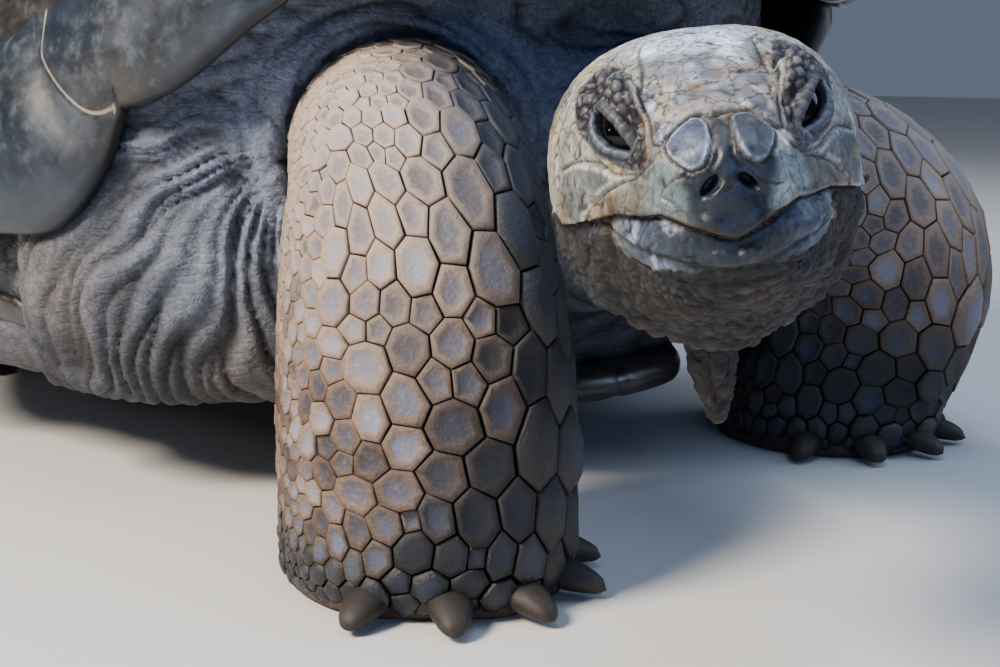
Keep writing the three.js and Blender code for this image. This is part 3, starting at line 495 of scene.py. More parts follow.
# %% Limbs
FORELEG_RIGHT = [
    (-278, -565, 0, 82, 92),
    (-278, -565, 16, 94, 106),
    (-277, -565, 70, 96, 108),
    (-274, -558, 150, 94, 106),
    (-264, -540, 218, 90, 98),
    (-238, -500, 262, 86, 88),
    (-196, -430, 282, 84, 84),
    (-140, -330, 270, 74, 78),
]
FORELEG_LEFT = [
    (258, -486, 0, 84, 92),
    (258, -486, 16, 97, 106),
    (264, -490, 70, 99, 112),
    (282, -502, 130, 102, 116),
    (286, -502, 180, 102, 114),
    (258, -470, 230, 92, 98),
    (205, -400, 248, 80, 86),
    (140, -320, 240, 74, 78),
]
HINDLEG_LEFT = [
    (278, 400, 0, 84, 92),
    (278, 400, 16, 98, 106),
    (276, 398, 70, 96, 104),
    (270, 392, 140, 98, 108),
    (245, 372, 200, 100, 110),
    (205, 335, 250, 92, 98),
    (150, 290, 290, 70, 76),
]
HINDLEG_RIGHT = [(-x, *rest) for x, *rest in HINDLEG_LEFT]
NECK = [
    (0, -400, 256, 106, 116),
    (-4, -500, 258, 92, 106),
    (-34, -600, 258, 78, 92),
    (-98, -695, 268, 68, 78),
    (-176, -762, 281, 61, 64),
    (-236, -800, 290, 54, 54),
]
TAIL = [
    (0, 430, 190, 62, 60),
    (0, 520, 182, 50, 50),
    (6, 590, 158, 36, 36),
    (18, 636, 120, 24, 22),
    (26, 656, 84, 12, 10),
]
SCALE_BED = 3.0  # how far the skin lies under the tops of the scales
FAR = 300.0  # what the field says of a limb that is nowhere near


class Limb:
    """A bent core with an oval section. Turn 0 points outward, and a quarter turn to the front."""

    def __init__(self, stations, outward, sunk=0.0):
        rows = curve_through(stations, 4)
        self.core, self.sizes = rows[:, :3], rows[:, 3:] - sunk
        self.outward = outward
        steps = np.linalg.norm(np.diff(self.core, axis=0), axis=1)
        self.run = np.concatenate([[0], np.cumsum(steps)])
        self.length = self.run[-1]
        along = np.gradient(self.core, axis=0)
        self.along = along / np.linalg.norm(along, axis=1)[:, None]
        across = np.array([outward, 0.0, 0.0]) - self.along * (outward * self.along[:, :1])
        self.across = across / np.linalg.norm(across, axis=1)[:, None]
        self.front = np.cross(self.across, self.along) * outward

    def surface(self, turn, run, lift=0.0):
        """Points on the limb: turn in radians, run in millimetres from its first station."""
        rows = [np.stack([np.interp(run, self.run, column) for column in part.T], 1) for part in
                (self.core, self.across, self.front, self.sizes)]
        core, across, front, sizes = rows
        side = np.cos(turn)[:, None] * across * (sizes[:, :1] + lift)
        ahead = np.sin(turn)[:, None] * front * (sizes[:, 1:] + lift)
        return core + side + ahead

    def field(self, points):
        edge = self.sizes.max() + 70
        near = np.all((points > self.core.min(0) - edge) & (points < self.core.max(0) + edge), axis=1)
        p = points[near]
        best = np.full(len(p), FAR)
        for k in range(len(self.core) - 1):
            a, b = self.core[k], self.core[k + 1]
            run = b - a
            share = np.clip((p - a) @ run / (run @ run), 0, 1)
            off = p - a - share[:, None] * run
            size = mix(self.sizes[k], self.sizes[k + 1], share[:, None])
            level = size.mean(1)
            axes = ((self.across, size[:, 0]), (self.front, size[:, 1]), (self.along, level))
            parts = [off @ axis[k] / reach for axis, reach in axes]
            best = np.minimum(best, (np.sqrt(sum(part**2 for part in parts)) - 1) * level)
        made = np.full(len(points), FAR)
        made[near] = best
        return made


LIMBS = {
    "foreleg_right": Limb(FORELEG_RIGHT, -1.0, SCALE_BED),
    "foreleg_left": Limb(FORELEG_LEFT, 1.0, SCALE_BED),
    "hindleg_right": Limb(HINDLEG_RIGHT, -1.0, SCALE_BED),
    "hindleg_left": Limb(HINDLEG_LEFT, 1.0, SCALE_BED),
    "neck": Limb(NECK, 1.0),
    "tail": Limb(TAIL, 1.0, 1.0),
}
LEGS = [name for name in LIMBS if "leg" in name]
print("lengths of the limbs", {name: round(limb.length) for name, limb in LIMBS.items()})

# %% The body between the shells
SHELL = {"half_length": 600, "half_width": 450, "apex_y": 20, "apex_z": 630, "plan": 0.82, "rise": 0.88}
RIM = {"side": 185, "front": 225, "rear": 62, "tail": 38, "hang": 7, "shoulder": 42, "flare": 16}
PLASTRON_TOP = 80.0
SKIRT = np.array(
    [
        # degrees from the front, share of the rim's plan at the top, and at the bottom
        (0, 0.8, 0.7),
        (30, 0.84, 0.74),
        (64, 0.95, 0.9),
        (90, 0.95, 0.93),
        (116, 0.93, 0.88),
        (145, 0.86, 0.76),
        (180, 0.9, 0.78),
    ]
)


def rim_height(degrees):
    front = RIM["front"] * fade(degrees, 38, 81.5)
    rear = RIM["rear"] * smoothstep(degrees, 112, 148) - RIM["tail"] * smoothstep(degrees, 160, 178)
    return RIM["side"] + front + rear


def skirt_share(degrees, column):
    made = np.zeros_like(degrees)
    for row, after in zip(SKIRT, SKIRT[1:]):
        inside = (degrees >= row[0]) & (degrees <= after[0])
        made = np.where(inside, mix(row[column], after[column], smoothstep(degrees, row[0], after[0])), made)
    return made


ARMPIT = np.array([-270.0, -375.0, 240.0])  # the right one
ALONG_BODY = np.array([-0.68, 0.73, 0.0])  # along the right flank, towards the tail


def flank(points):
    """Where a point lies on the flank: along it behind the armpit, and above it. The left one is mirrored."""
    mirrored = points * [-1, 1, 1]
    from_armpit = np.where(points[:, :1] > 0, mirrored, points) - ARMPIT
    return from_armpit @ ALONG_BODY, from_armpit[:, 2]


def body_field(points):
    x, y, z = points.T
    degrees = np.abs(np.degrees(np.arctan2(x / SHELL["half_width"], -y / SHELL["half_length"])))
    out = np.hypot(x / SHELL["half_width"], y / SHELL["half_length"])
    rim = rim_height(degrees)
    down = (rim + 26 - z) / (rim + 26 - PLASTRON_TOP)
    edge = mix(skirt_share(degrees, 1), skirt_share(degrees, 2), np.clip(down, 0, 1))
    edge = edge + 0.035 * np.sin(math.pi * np.clip(down, 0, 1))
    plan = np.hypot(x, y) / np.maximum(out, 1e-6)
    side = (out - edge) * plan
    back, up = flank(points)
    pouch = bell(back, 130, 85) * bell(up, -105, 62)
    recess = smoothstep(back, 208, 240) * fade(back, 320, 400) * fade(up, -30, 30)
    side = side - 16 * pouch + 30 * recess
    return soft_max(soft_max(side, z - rim - 30, 20), PLASTRON_TOP - z, 26)


def flesh(points):
    """The whole body but the head, in millimetres: below 0 inside."""
    x, y, z = points.T
    body = body_field(points)
    for name in LEGS:
        leg = LIMBS[name].field(points)
        collar = 13 * bell(leg, 17, 11) * smoothstep(z, 90, 150)  # a thick roll of skin round each leg
        body = soft_min(body - collar, leg, 7)
    body = soft_min(body, LIMBS["neck"].field(points), 42)
    body = soft_min(body, LIMBS["tail"].field(points), 24)
    return np.maximum(body, -z)


# %% [markdown]
# ## The head as a field
# The head is built in its own frame, snout towards -Y, and then turned into place. Its sections are
# rounded squares. From them the sockets are hollowed, the lids rolled over the eyeballs, the mouth is
# parted, the beak overhangs the lower lip, and the nostrils are sunk.

# %% Skull, lids, mouth and throat
HEAD_PLACE = np.array([-306.0, -843.0, 292.0])
HEAD_TURN, HEAD_NOD, HEAD_ROLL = np.radians([-41, 10, -8])
SKULL = curve_through(
    [
        # depth, half width, top, bottom
        (-107, 13, 31, -9),
        (-101, 27, 39, -25),
        (-86, 40, 47, -41),
        (-60, 53, 57, -55),
        (-30, 67, 66, -67),
        (0, 77, 71, -76),
        (28, 80, 71, -78),
        (58, 75, 65, -71),
        (82, 64, 55, -60),
        (102, 54, 45, -50),
    ]
)
SKULL_POWER = 2.44  # 2 is an ellipse, more is boxier
SNOUT = -107.0
NAPE = 106.0
EYE = {
    "at": np.array([36.0, -42.0, 37.0]),
    "radius": 18.0,
    "facing": np.array([0.6, -0.72, 0.36]),
    "tilt": 38,
    "half": 14.5,
    "above": 2.8,
    "below": 5.6,
}
MOUTH = np.array([(0, -1), (14, 4), (30, 11), (48, 6), (64, -5), (80, -18)], float)  # side, height
THROAT = np.array(
    [
        # depth, top, bottom, half width of the fold under the throat
        (-6, -62, -86, 7),
        (10, -66, -130, 13),
        (32, -66, -154, 15),
        (56, -62, -150, 15),
        (78, -52, -120, 12),
        (92, -46, -76, 6),
    ],
    float,
)
THROAT_SWING = -7.0


def turned(angle, axis):
    c, s = math.cos(angle), math.sin(angle)
    one, two = (axis + 1) % 3, (axis + 2) % 3
    made = np.eye(3)
    made[one, one], made[one, two], made[two, one], made[two, two] = c, -s, s, c
    return made


HEAD_AXES = turned(HEAD_TURN, 2) @ turned(HEAD_NOD, 0) @ turned(HEAD_ROLL, 1)


def to_head(points):
    return (points - HEAD_PLACE) @ HEAD_AXES


def from_head(points):
    return points @ HEAD_AXES.T + HEAD_PLACE


def eye_axes():
    out = EYE["facing"] / np.linalg.norm(EYE["facing"])
    back = np.cross([0, 0, 1], out)
    back /= np.linalg.norm(back)
    up = np.cross(out, back)
    tilt = math.radians(EYE["tilt"])
    along = back * math.cos(tilt) + up * math.sin(tilt)
    return np.stack([along, np.cross(out, along), out], 1)


EYE_AXES = eye_axes()


def to_eye(q):
    """A head point in the frame of its own side's eye: along the opening, across it, and out of the head."""
    return (np.abs(q) * [1, 0, 0] + q * [0, 1, 1] - EYE["at"]) @ EYE_AXES


def opening(e):
    """Below 0 inside the almond between the lids."""
    arch = 1 - (e[:, 0] / EYE["half"]) ** 2
    return np.maximum(e[:, 1] - EYE["above"] * arch, -EYE["below"] * arch - e[:, 1])


def egg(points, middle, sizes):
    """About how far a point is outside an egg of these half sizes."""
    return (np.linalg.norm((points - middle) / sizes, axis=1) - 1) * min(sizes)


def with_eye(field, q):
    e = to_eye(q)
    reach = np.linalg.norm(e, axis=1)
    field = soft_max(field, -egg(e, (3, 3, 27.5), (24, 23, 10.5)), 9)
    field = soft_min(field, np.maximum(reach - 20.6, -e[:, 2]), 3)
    field = soft_min(field, egg(e, (7, 13.5, 12.5), (16, 8, 8)), 2.2)
    arch = 1 - (e[:, 0] / EYE["half"]) ** 2
    rolls = (
        # where the roll's middle lies beyond the opening's edge, its thickness, and which lid it is
        (EYE["above"] * arch + 4.0, 3.7, 1),
        (-EYE["below"] * arch - 3.2, 3.0, -1),
        (-EYE["below"] * arch - 8.4, 2.2, -1),
    )
    for middle, thick, lid in rolls:
        middle = np.where(lid * middle < 0.5, 0.5 * lid, middle)
        tube = np.hypot(e[:, 1] - middle, reach - 20.0) - thick
        tube = soft_max(tube, np.abs(e[:, 0]) - EYE["half"] - 4.5, 4)
        field = soft_min(field, np.maximum(tube, 2 - e[:, 2]), 1.3)
    hole = np.maximum(opening(e), 7 - e[:, 2])
    return soft_max(field, -hole, 1.2)


def with_mouth(field, q):
    side, depth, height = np.abs(q[:, 0]), q[:, 1], q[:, 2]
    above = height - np.interp(side, *MOUTH.T)
    along = fade(depth, -4, 16)
    front = fade(side, 34, 56)
    cleft = 5.0 * bell(above, 0, 1.5)
    lip = 2.4 * bell(above, 4.5, 4.5) - 2.2 * bell(above, -3.0, 2.6)
    lower = 3.4 * bell(above, -11, 5.5) * front
    return field + (cleft - lip) * along - lower * along


def with_nose(field, q):
    side = np.stack([np.abs(q[:, 0]), q[:, 1], q[:, 2]], 1)
    ridge = 3.5 * bell(q[:, 0], 0, 13) * bell(q[:, 2], 12, 17) * fade(q[:, 1], -100, -84)
    field = field - ridge
    lean = side - np.array([8.4, -108, 24.5])
    slanted = np.stack([0.71 * (lean[:, 0] + lean[:, 2]), lean[:, 1], 0.71 * (lean[:, 2] - lean[:, 0])], 1)
    pit = egg(slanted, (0, 0, 0), (2.5, 9.5, 6.2))
    return soft_max(field, -pit, 1.8)


def throat_field(q):
    top, bottom, half = (np.interp(q[:, 1], THROAT[:, 0], column) for column in THROAT.T[1:])
    down = np.clip((top - q[:, 2]) / (top - bottom), 0, 1)
    half = half * (1 - 0.45 * down)
    tall = (top - bottom) / 2
    level = np.hypot((q[:, 0] - THROAT_SWING * down) / half, (q[:, 2] - (top + bottom) / 2) / tall)
    fold = (level - 1) * half
    ends = np.maximum(THROAT[0, 0] - q[:, 1], q[:, 1] - THROAT[-1, 0])
    return soft_max(fold, ends, 6)


def head_field(q):
    """The head alone, in its own frame."""
    depth = q[:, 1]
    half, top, bottom = (np.interp(depth, SKULL[:, 0], column) for column in SKULL.T[1:])
    middle, tall = (top + bottom) / 2, (top - bottom) / 2
    wide, high = np.abs(q[:, 0]) / half, np.abs(q[:, 2] - middle) / tall
    level = (wide**SKULL_POWER + high**SKULL_POWER) ** (1 / SKULL_POWER)
    field = (level - 1) * np.minimum(half, tall)
    field = soft_max(soft_max(field, SNOUT - depth, 9), depth - NAPE, 12)
    side = np.stack([np.abs(q[:, 0]), depth, q[:, 2]], 1)
    field = soft_min(field, egg(side, (48, -2, -36), (18, 30, 25)), 12)  # the muscle at the hinge of the jaw
    field = soft_min(field, egg(q, (0, 2, -64), (40, 52, 22)), 12)  # the slack floor of the mouth
    field = with_nose(with_mouth(with_eye(field, q), q), q)
    return soft_min(field, throat_field(q), 9)


def whole(points):
    """Head and body together, in the millimetres of the shell."""
    body = flesh(points)
    q = to_head(points)
    near = np.abs(q).max(1) < 230
    body[near] = soft_min(body[near], head_field(q[near]), 12)
    return body


# %% [markdown]
# ## Folds and grain
# Where the skin is loose it lies in pads that press against each other, so the creases between them are
# sharp and the pads round. Noise that is folded over at zero looks just so. Stretched along the lie of
# the folds it gives the long wrinkles round a leg, across a neck, or fanning out of the armpit.

# %% Relief of the body's skin
def pads(points, size, seed=0, sharp=0.55):
    """0 in the creases to about 1 on the pads between them."""
    return np.clip(np.abs(noise(points, size, seed)) * 2.2, 0, 1) ** sharp


FOLDS_MEET = (-22, 42)  # mm behind and above the armpit: where the pouch's folds come together


def body_relief(points):
    """How far the skin stands out, in mm, and how deep in a crease it lies, from 0 to 1, which the hide paints
    as shade.
    """
    x, y, z = points.T
    back, up = flank(points)
    warp = noise(points, 60, 11)
    back, up = back - FOLDS_MEET[0], up - FOLDS_MEET[1]
    away = np.hypot(back, up)
    angle = np.arctan2(up, back) + 0.16 * warp
    legs = np.min([LIMBS[name].field(points) for name in LEGS], axis=0)
    neck = LIMBS["neck"].field(points)
    zero = np.zeros_like(x)

    bend = angle + 0.22 * noise(points, 90, 12) + 0.003 * away
    fan = pads(np.stack([bend * 7.5, np.log(away + 30) * 0.9, zero], 1), 1.0, 21)
    fine_fan = pads(np.stack([bend * 15, np.log(away + 30) * 1.6, zero], 1), 1.0, 22)
    fan = np.clip(0.8 * fan + 0.2 * fine_fan * smoothstep(noise(points, 70, 23), -0.3, 0.3) + 0.05, 0, 1)
    fan_share = smoothstep(away, 12, 65) * fade(away, 230, 320) * fade(angle, 0.0, 0.7)
    fan_share = fan_share * smoothstep(np.abs(x), 190, 230) * smoothstep(-y, 90, 140)
    round_leg = pads(np.stack([(legs + 9 * warp) / 17, angle * 1.1, zero], 1), 1.0, 31)
    leg_share = fade(legs, 28, 60) * smoothstep(legs, 4, 12)
    ring = pads(np.stack([x / 60 + y / 21 + warp * 0.7, z / 70, zero], 1), 1.0, 41)
    neck_share = fade(neck, 8, 60)
    loose = pads(points, np.array([70.0, 70.0, 24.0]), 51)

    base = np.clip(1 - np.maximum.reduce([fan_share, leg_share * 0.8, neck_share]), 0, 1)
    height = 14.0 * fan * fan_share + 6.5 * round_leg * leg_share * (1 - fan_share) + 6.0 * ring * neck_share
    height = height + 4.0 * loose * base
    depth = 1 - (fan * fan_share + round_leg * leg_share * (1 - fan_share) + ring * neck_share + loose * base)
    small = pads(points, 11.0, 61, 0.7)
    first, second, _ = cells(points, 7.5, 71)
    pebble = smoothstep(second - first, 0.02, 0.32)
    on_leg = smoothstep(legs, -1, 5)  # under the scales the skin is plain
    relief = (height - 4 + 0.8 * small + 0.4 * pebble) * on_leg - (1 - on_leg) * 0.5
    # Painted shade at the bottom of each fold, and a little along the grain's lines.
    creased = np.clip(smoothstep(depth, 0.4, 1.0) * 0.8 + 0.3 * (1 - pebble) * 0.4, 0, 1) * on_leg
    return relief, creased


TONES = {name: linear(value) for name, value in {
    # the body's
    "grey": "#5d6066",
    "slate": "#2f3746",
    "dust": "#7a746f",
    "leg": "#4b3a2e",
    "dark": "#37312f",
    # painted light for the chest, which lies in the shell's shadow
    "chest": "#707b8d",
    # the face's
    "bone": "#a09f98",
    "warm_bone": "#a3895f",
    "olive": "#54564f",
    "pale": "#d6d8d5",
    "sky": "#c3d2ec",
    "plum": "#37303a",
    "ochre": "#6f5029",
    "nose": "#10192a",
    "beak": "#5a6e73",
    "beak_dark": "#2e3b3b",
    "pad": "#43454c",
    "lid": "#29323f",
    "lid_roll_highlight": "#5d6b7c",
    "lip": "#2b384c",
    "lip_middle": "#1d262f",
    "throat": "#141211",
    "throat_blue": "#19202f",
    "rust": "#8a5418",
}.items()}


def toned(tint, *layers):
    """Lays colours over a tint, one after the other: each is a tone's name or a colour, and its share."""
    for tone, share in layers:
        colour = TONES[tone] if isinstance(tone, str) else tone
        tint = tint + (colour - tint) * np.clip(share, 0, 1)[:, None]
    return tint


def body_tint(points):
    _, y, z = points.T
    legs = np.min([LIMBS[name].field(points) for name in LEGS], axis=0)
    return toned(
        np.tile(TONES["grey"], (len(points), 1)),
        ("slate", 0.4 + 0.6 * noise(points, 90, 81)),
        ("dust", 0.75 * smoothstep(noise(points, 120, 82), 0.0, 0.6) + 0.4 * bell(legs, 12, 12)),
        # Painted shade: the upper flank, under the shell's rim, is painted a darker slate.
        ("slate", 0.88 * smoothstep(flank(points)[1], -50, 50)),
        ("leg", fade(legs, -1, 6)),
        # Painted light: the chest and neck before the legs, where the lamps hardly reach, are painted a
        # lighter blue-grey.
        ("chest", 0.9 * smoothstep(-y, 250, 400) * smoothstep(legs, 4, 12) * smoothstep(z, 120, 200)),
        ("dark", 0.35 * fade(z, 90, 170)),
    )


# %% Skin pieces of the body
TUCK = 9.0  # pieces of skin overlap by this much, and dive under each other there
TUCK_DEPTH = 3.0
HEAD_END = 92.0  # depth in the head's frame at which the neck's skin takes over
FACE_MARKS = ("horn", "streaky", "granular", "fissured", "to_next")  # all 0 on the body


def meshed(field, lowest, highest, step, joins):
    """Points, quads, normals and how far each point lies past the piece's own part, for a field in a box."""
    reach_low, reach_high = np.array(lowest, float), np.array(highest, float)
    for axis, side in joins:
        (reach_low if side < 0 else reach_high)[axis] += side * TUCK
    points, quads = surface_nets(sampled(field, reach_low, reach_high, step), reach_low, step)
    outside = np.zeros(len(points))
    for axis, side in joins:
        limit = (lowest if side < 0 else highest)[axis]
        outside = np.maximum(outside, side * (points[:, axis] - limit))
    return points, quads, normals_of(points, quads), outside


def finished(name, points, quads, marks, nodes, slot="skin"):
    points = points.copy()
    points[:, 2] = np.maximum(points[:, 2], 0.0)
    closed, faces = closed_with_fans(points, quads)
    dressed(new_piece(name, closed, faces, hide, marks), slot, *nodes)


def body_alone(points):
    """Everything behind the head, with a little of it to tuck under."""
    return np.maximum(whole(points), HEAD_END - TUCK - to_head(points)[:, 1])


FRONT_END = -150.0  # the front and rear skins meet here, hidden under the shell
BODY_SKINS = {
    # name: (lowest corner, highest corner, step, joins, nodes)
    "skin_front_right": (
        (-460, -860, -4), (0, FRONT_END, 470), 3.35, [(0, 1), (1, 1)], ["torso", "neck", "foreleg_right"]
    ),
    "skin_front_left": ((0, -760, -4), (460, FRONT_END, 470), 3.9, [(0, -1), (1, 1)], ["foreleg_left"]),
    "skin_rear": (
        (-460, FRONT_END, -4), (460, 690, 330), 5.2, [(1, -1)], ["hindleg_right", "hindleg_left", "tail"]
    ),
}
skins = {}
for name, (lowest, highest, step, joins, nodes) in BODY_SKINS.items():
    points, quads, normals, outside = meshed(body_alone, lowest, highest, step, joins)
    outside = np.maximum(outside, HEAD_END - to_head(points)[:, 1])
    relief, creased = body_relief(points)
    relief = relief - np.clip(outside / TUCK, 0, 1) * TUCK_DEPTH
    skins[name] = (points, quads)
    marks = {"tint": body_tint(points), "crease": creased, **dict.fromkeys(FACE_MARKS, np.zeros(len(points)))}
    finished(name, points + normals * relief[:, None], quads, marks, nodes)

# %% [markdown]
# ## The face, drawn on a map
# The face's shields, their seams and the lips are lines on a curved surface. So that a line can be given
# in a few numbers, the head is mapped like a globe: degrees to the side and up, seen from a point in the
# middle of the skull. The outlines are drawn for one side and mirrored, and a little wandering noise
# takes away the ruler-straight look.

# %% Face map and drawing tools
MAP_CENTRE = np.array([0.0, 10.0, -5.0])


def face_map(q):
    """Degrees to the side and up for points on the head, and how many millimetres a degree is there."""
    off = q - MAP_CENTRE
    up = np.arctan2(off[:, 2], np.hypot(off[:, 0], off[:, 1]))
    side = np.arctan2(off[:, 0], -off[:, 1]) * np.cos(up)
    return np.degrees(np.stack([side, up], 1)), np.radians(np.linalg.norm(off, axis=1))


def away_from(spots, line, closed=False):
    """Distance in degrees from each spot to a line through a few places; below 0 inside a closed one."""
    path = curve_through(line, 5, closed)
    if closed:
        path = np.vstack([path, path[:1]])
    best = np.full(len(spots), 1e9)
    inside = np.zeros(len(spots), bool)
    for a, b in zip(path, path[1:]):
        run = b - a
        share = np.clip((spots - a) @ run / max(run @ run, 1e-9), 0, 1)
        best = np.minimum(best, np.linalg.norm(spots - a - share[:, None] * run, axis=1))
        spans = (a[1] > spots[:, 1]) != (b[1] > spots[:, 1])
        rise = np.where(b[1] == a[1], 1e-9, b[1] - a[1])
        inside ^= spans & (spots[:, 0] < a[0] + (spots[:, 1] - a[1]) / rise * run[0])
    return np.where(inside & closed, -best, best)


# Outlines in degrees on the map, for the animal's left side: (to the side, up).
PLATES = {
    # name: (outline, height in mm, roundness in mm, groove in mm, colour, how far the colour covers)
    "forehead": (
        [(0, 31.5), (5, 32), (11, 28.5), (16, 25.5), (18.3, 34), (20, 44), (21, 54), (23, 64), (26, 74),
         (22, 84), (0, 89), (-22, 84), (-26, 74), (-23, 64), (-21, 54), (-20, 44), (-18.3, 34), (-16, 25.5),
         (-11, 28.5), (-5, 32)],
        1.2, 9.0, 1.0, "#5d6776", 0.9,
    ),
    "drop": ([(2.6, 30), (6.5, 31), (10.5, 28.6), (12.8, 24.5), (11, 20.3), (7.2, 17.4), (4, 19), (2.8, 24)],
             2.2, 3.5, 1.2, "#37496b", 0.95),
    "upper_jaw": ([(20.0, 17.6), (28, 15.4), (38, 11.6), (49, 5.5), (50, 4), (42, 4.3), (31, 6), (20.6, 8.2),
                   (17, 8), (16.5, 13)], 0.5, 6.0, 0.0, "#3f3224", 0.85),
    "cheek": ([(20.5, 18.6), (30, 18.6), (42, 21.6), (57, 20), (70, 15), (72, 2), (58, 0), (50, 6.5),
               (38, 12.8), (28, 16.8)], 1.6, 7.0, 0.3, "#454d52", 0.9),
}
SEAMS = [
    # (line, width in mm, depth in mm)
    ([(15, 24.6), (10.5, 28.7), (4, 32), (0, 31.4)], 0.9, 1.3),
    ([(0, 30.5), (1.8, 27), (1.6, 21), (3.2, 17.5)], 1.2, 0.9),
    ([(17, 21), (22, 18.2), (30, 16.0), (39, 12.0), (47, 7), (51, 1)], 1.1, 1.9),
    ([(20.5, 19), (30, 19), (42, 22.3), (57, 20.6), (72, 16)], 0.9, 1.3),
    ([(23, 47), (36, 59), (52, 58), (63, 50)], 0.8, 0.5),
    ([(60, 43), (67, 34), (74, 24)], 0.7, 0.5),
    ([(-14, 52), (-5, 60), (6, 63)], 0.7, 0.7),
    ([(24, 63), (34, 70), (50, 70)], 0.7, 0.5),
]
LIP = [(0, -5.2), (6, -4.6), (11, -3.2), (17, -1.8), (24, -0.8), (34, 1.0), (42, 2.4)]
EYE_FIELD = [(19.8, 20.5), (19.8, 28), (20.6, 36), (22.2, 44), (26, 52.5), (34, 58), (46, 55.5), (55, 49),
             (60, 42), (57, 36), (49, 30), (38, 24.4), (28, 20.8)]
UNDER_LIP = [(0, -9.5), (12, -8.6), (24, -6), (36, -2)]
TEAR = [(20.3, 34), (19.2, 27), (18.6, 19)]
NOSE_HALF = ([2, 8, 13, 18, 21, 24, 30], [10.0, 9.4, 9.8, 12.0, 4.5, 2.8, 3.0])  # half its width by height


def streaks(q, width, seed, length=9.0):
    """Long thin marks that run up and down the face, from about -1 to 1."""
    drawn_out = q * [1, 1, 1 / length]
    return noise(drawn_out, width, seed) + 0.5 * noise(drawn_out, width / 2.3, seed + 1)


def several(q, size, seeds):
    """As many kinds of noise as there are seeds, side by side."""
    return np.stack([noise(q, size, seed) for seed in seeds], 1)


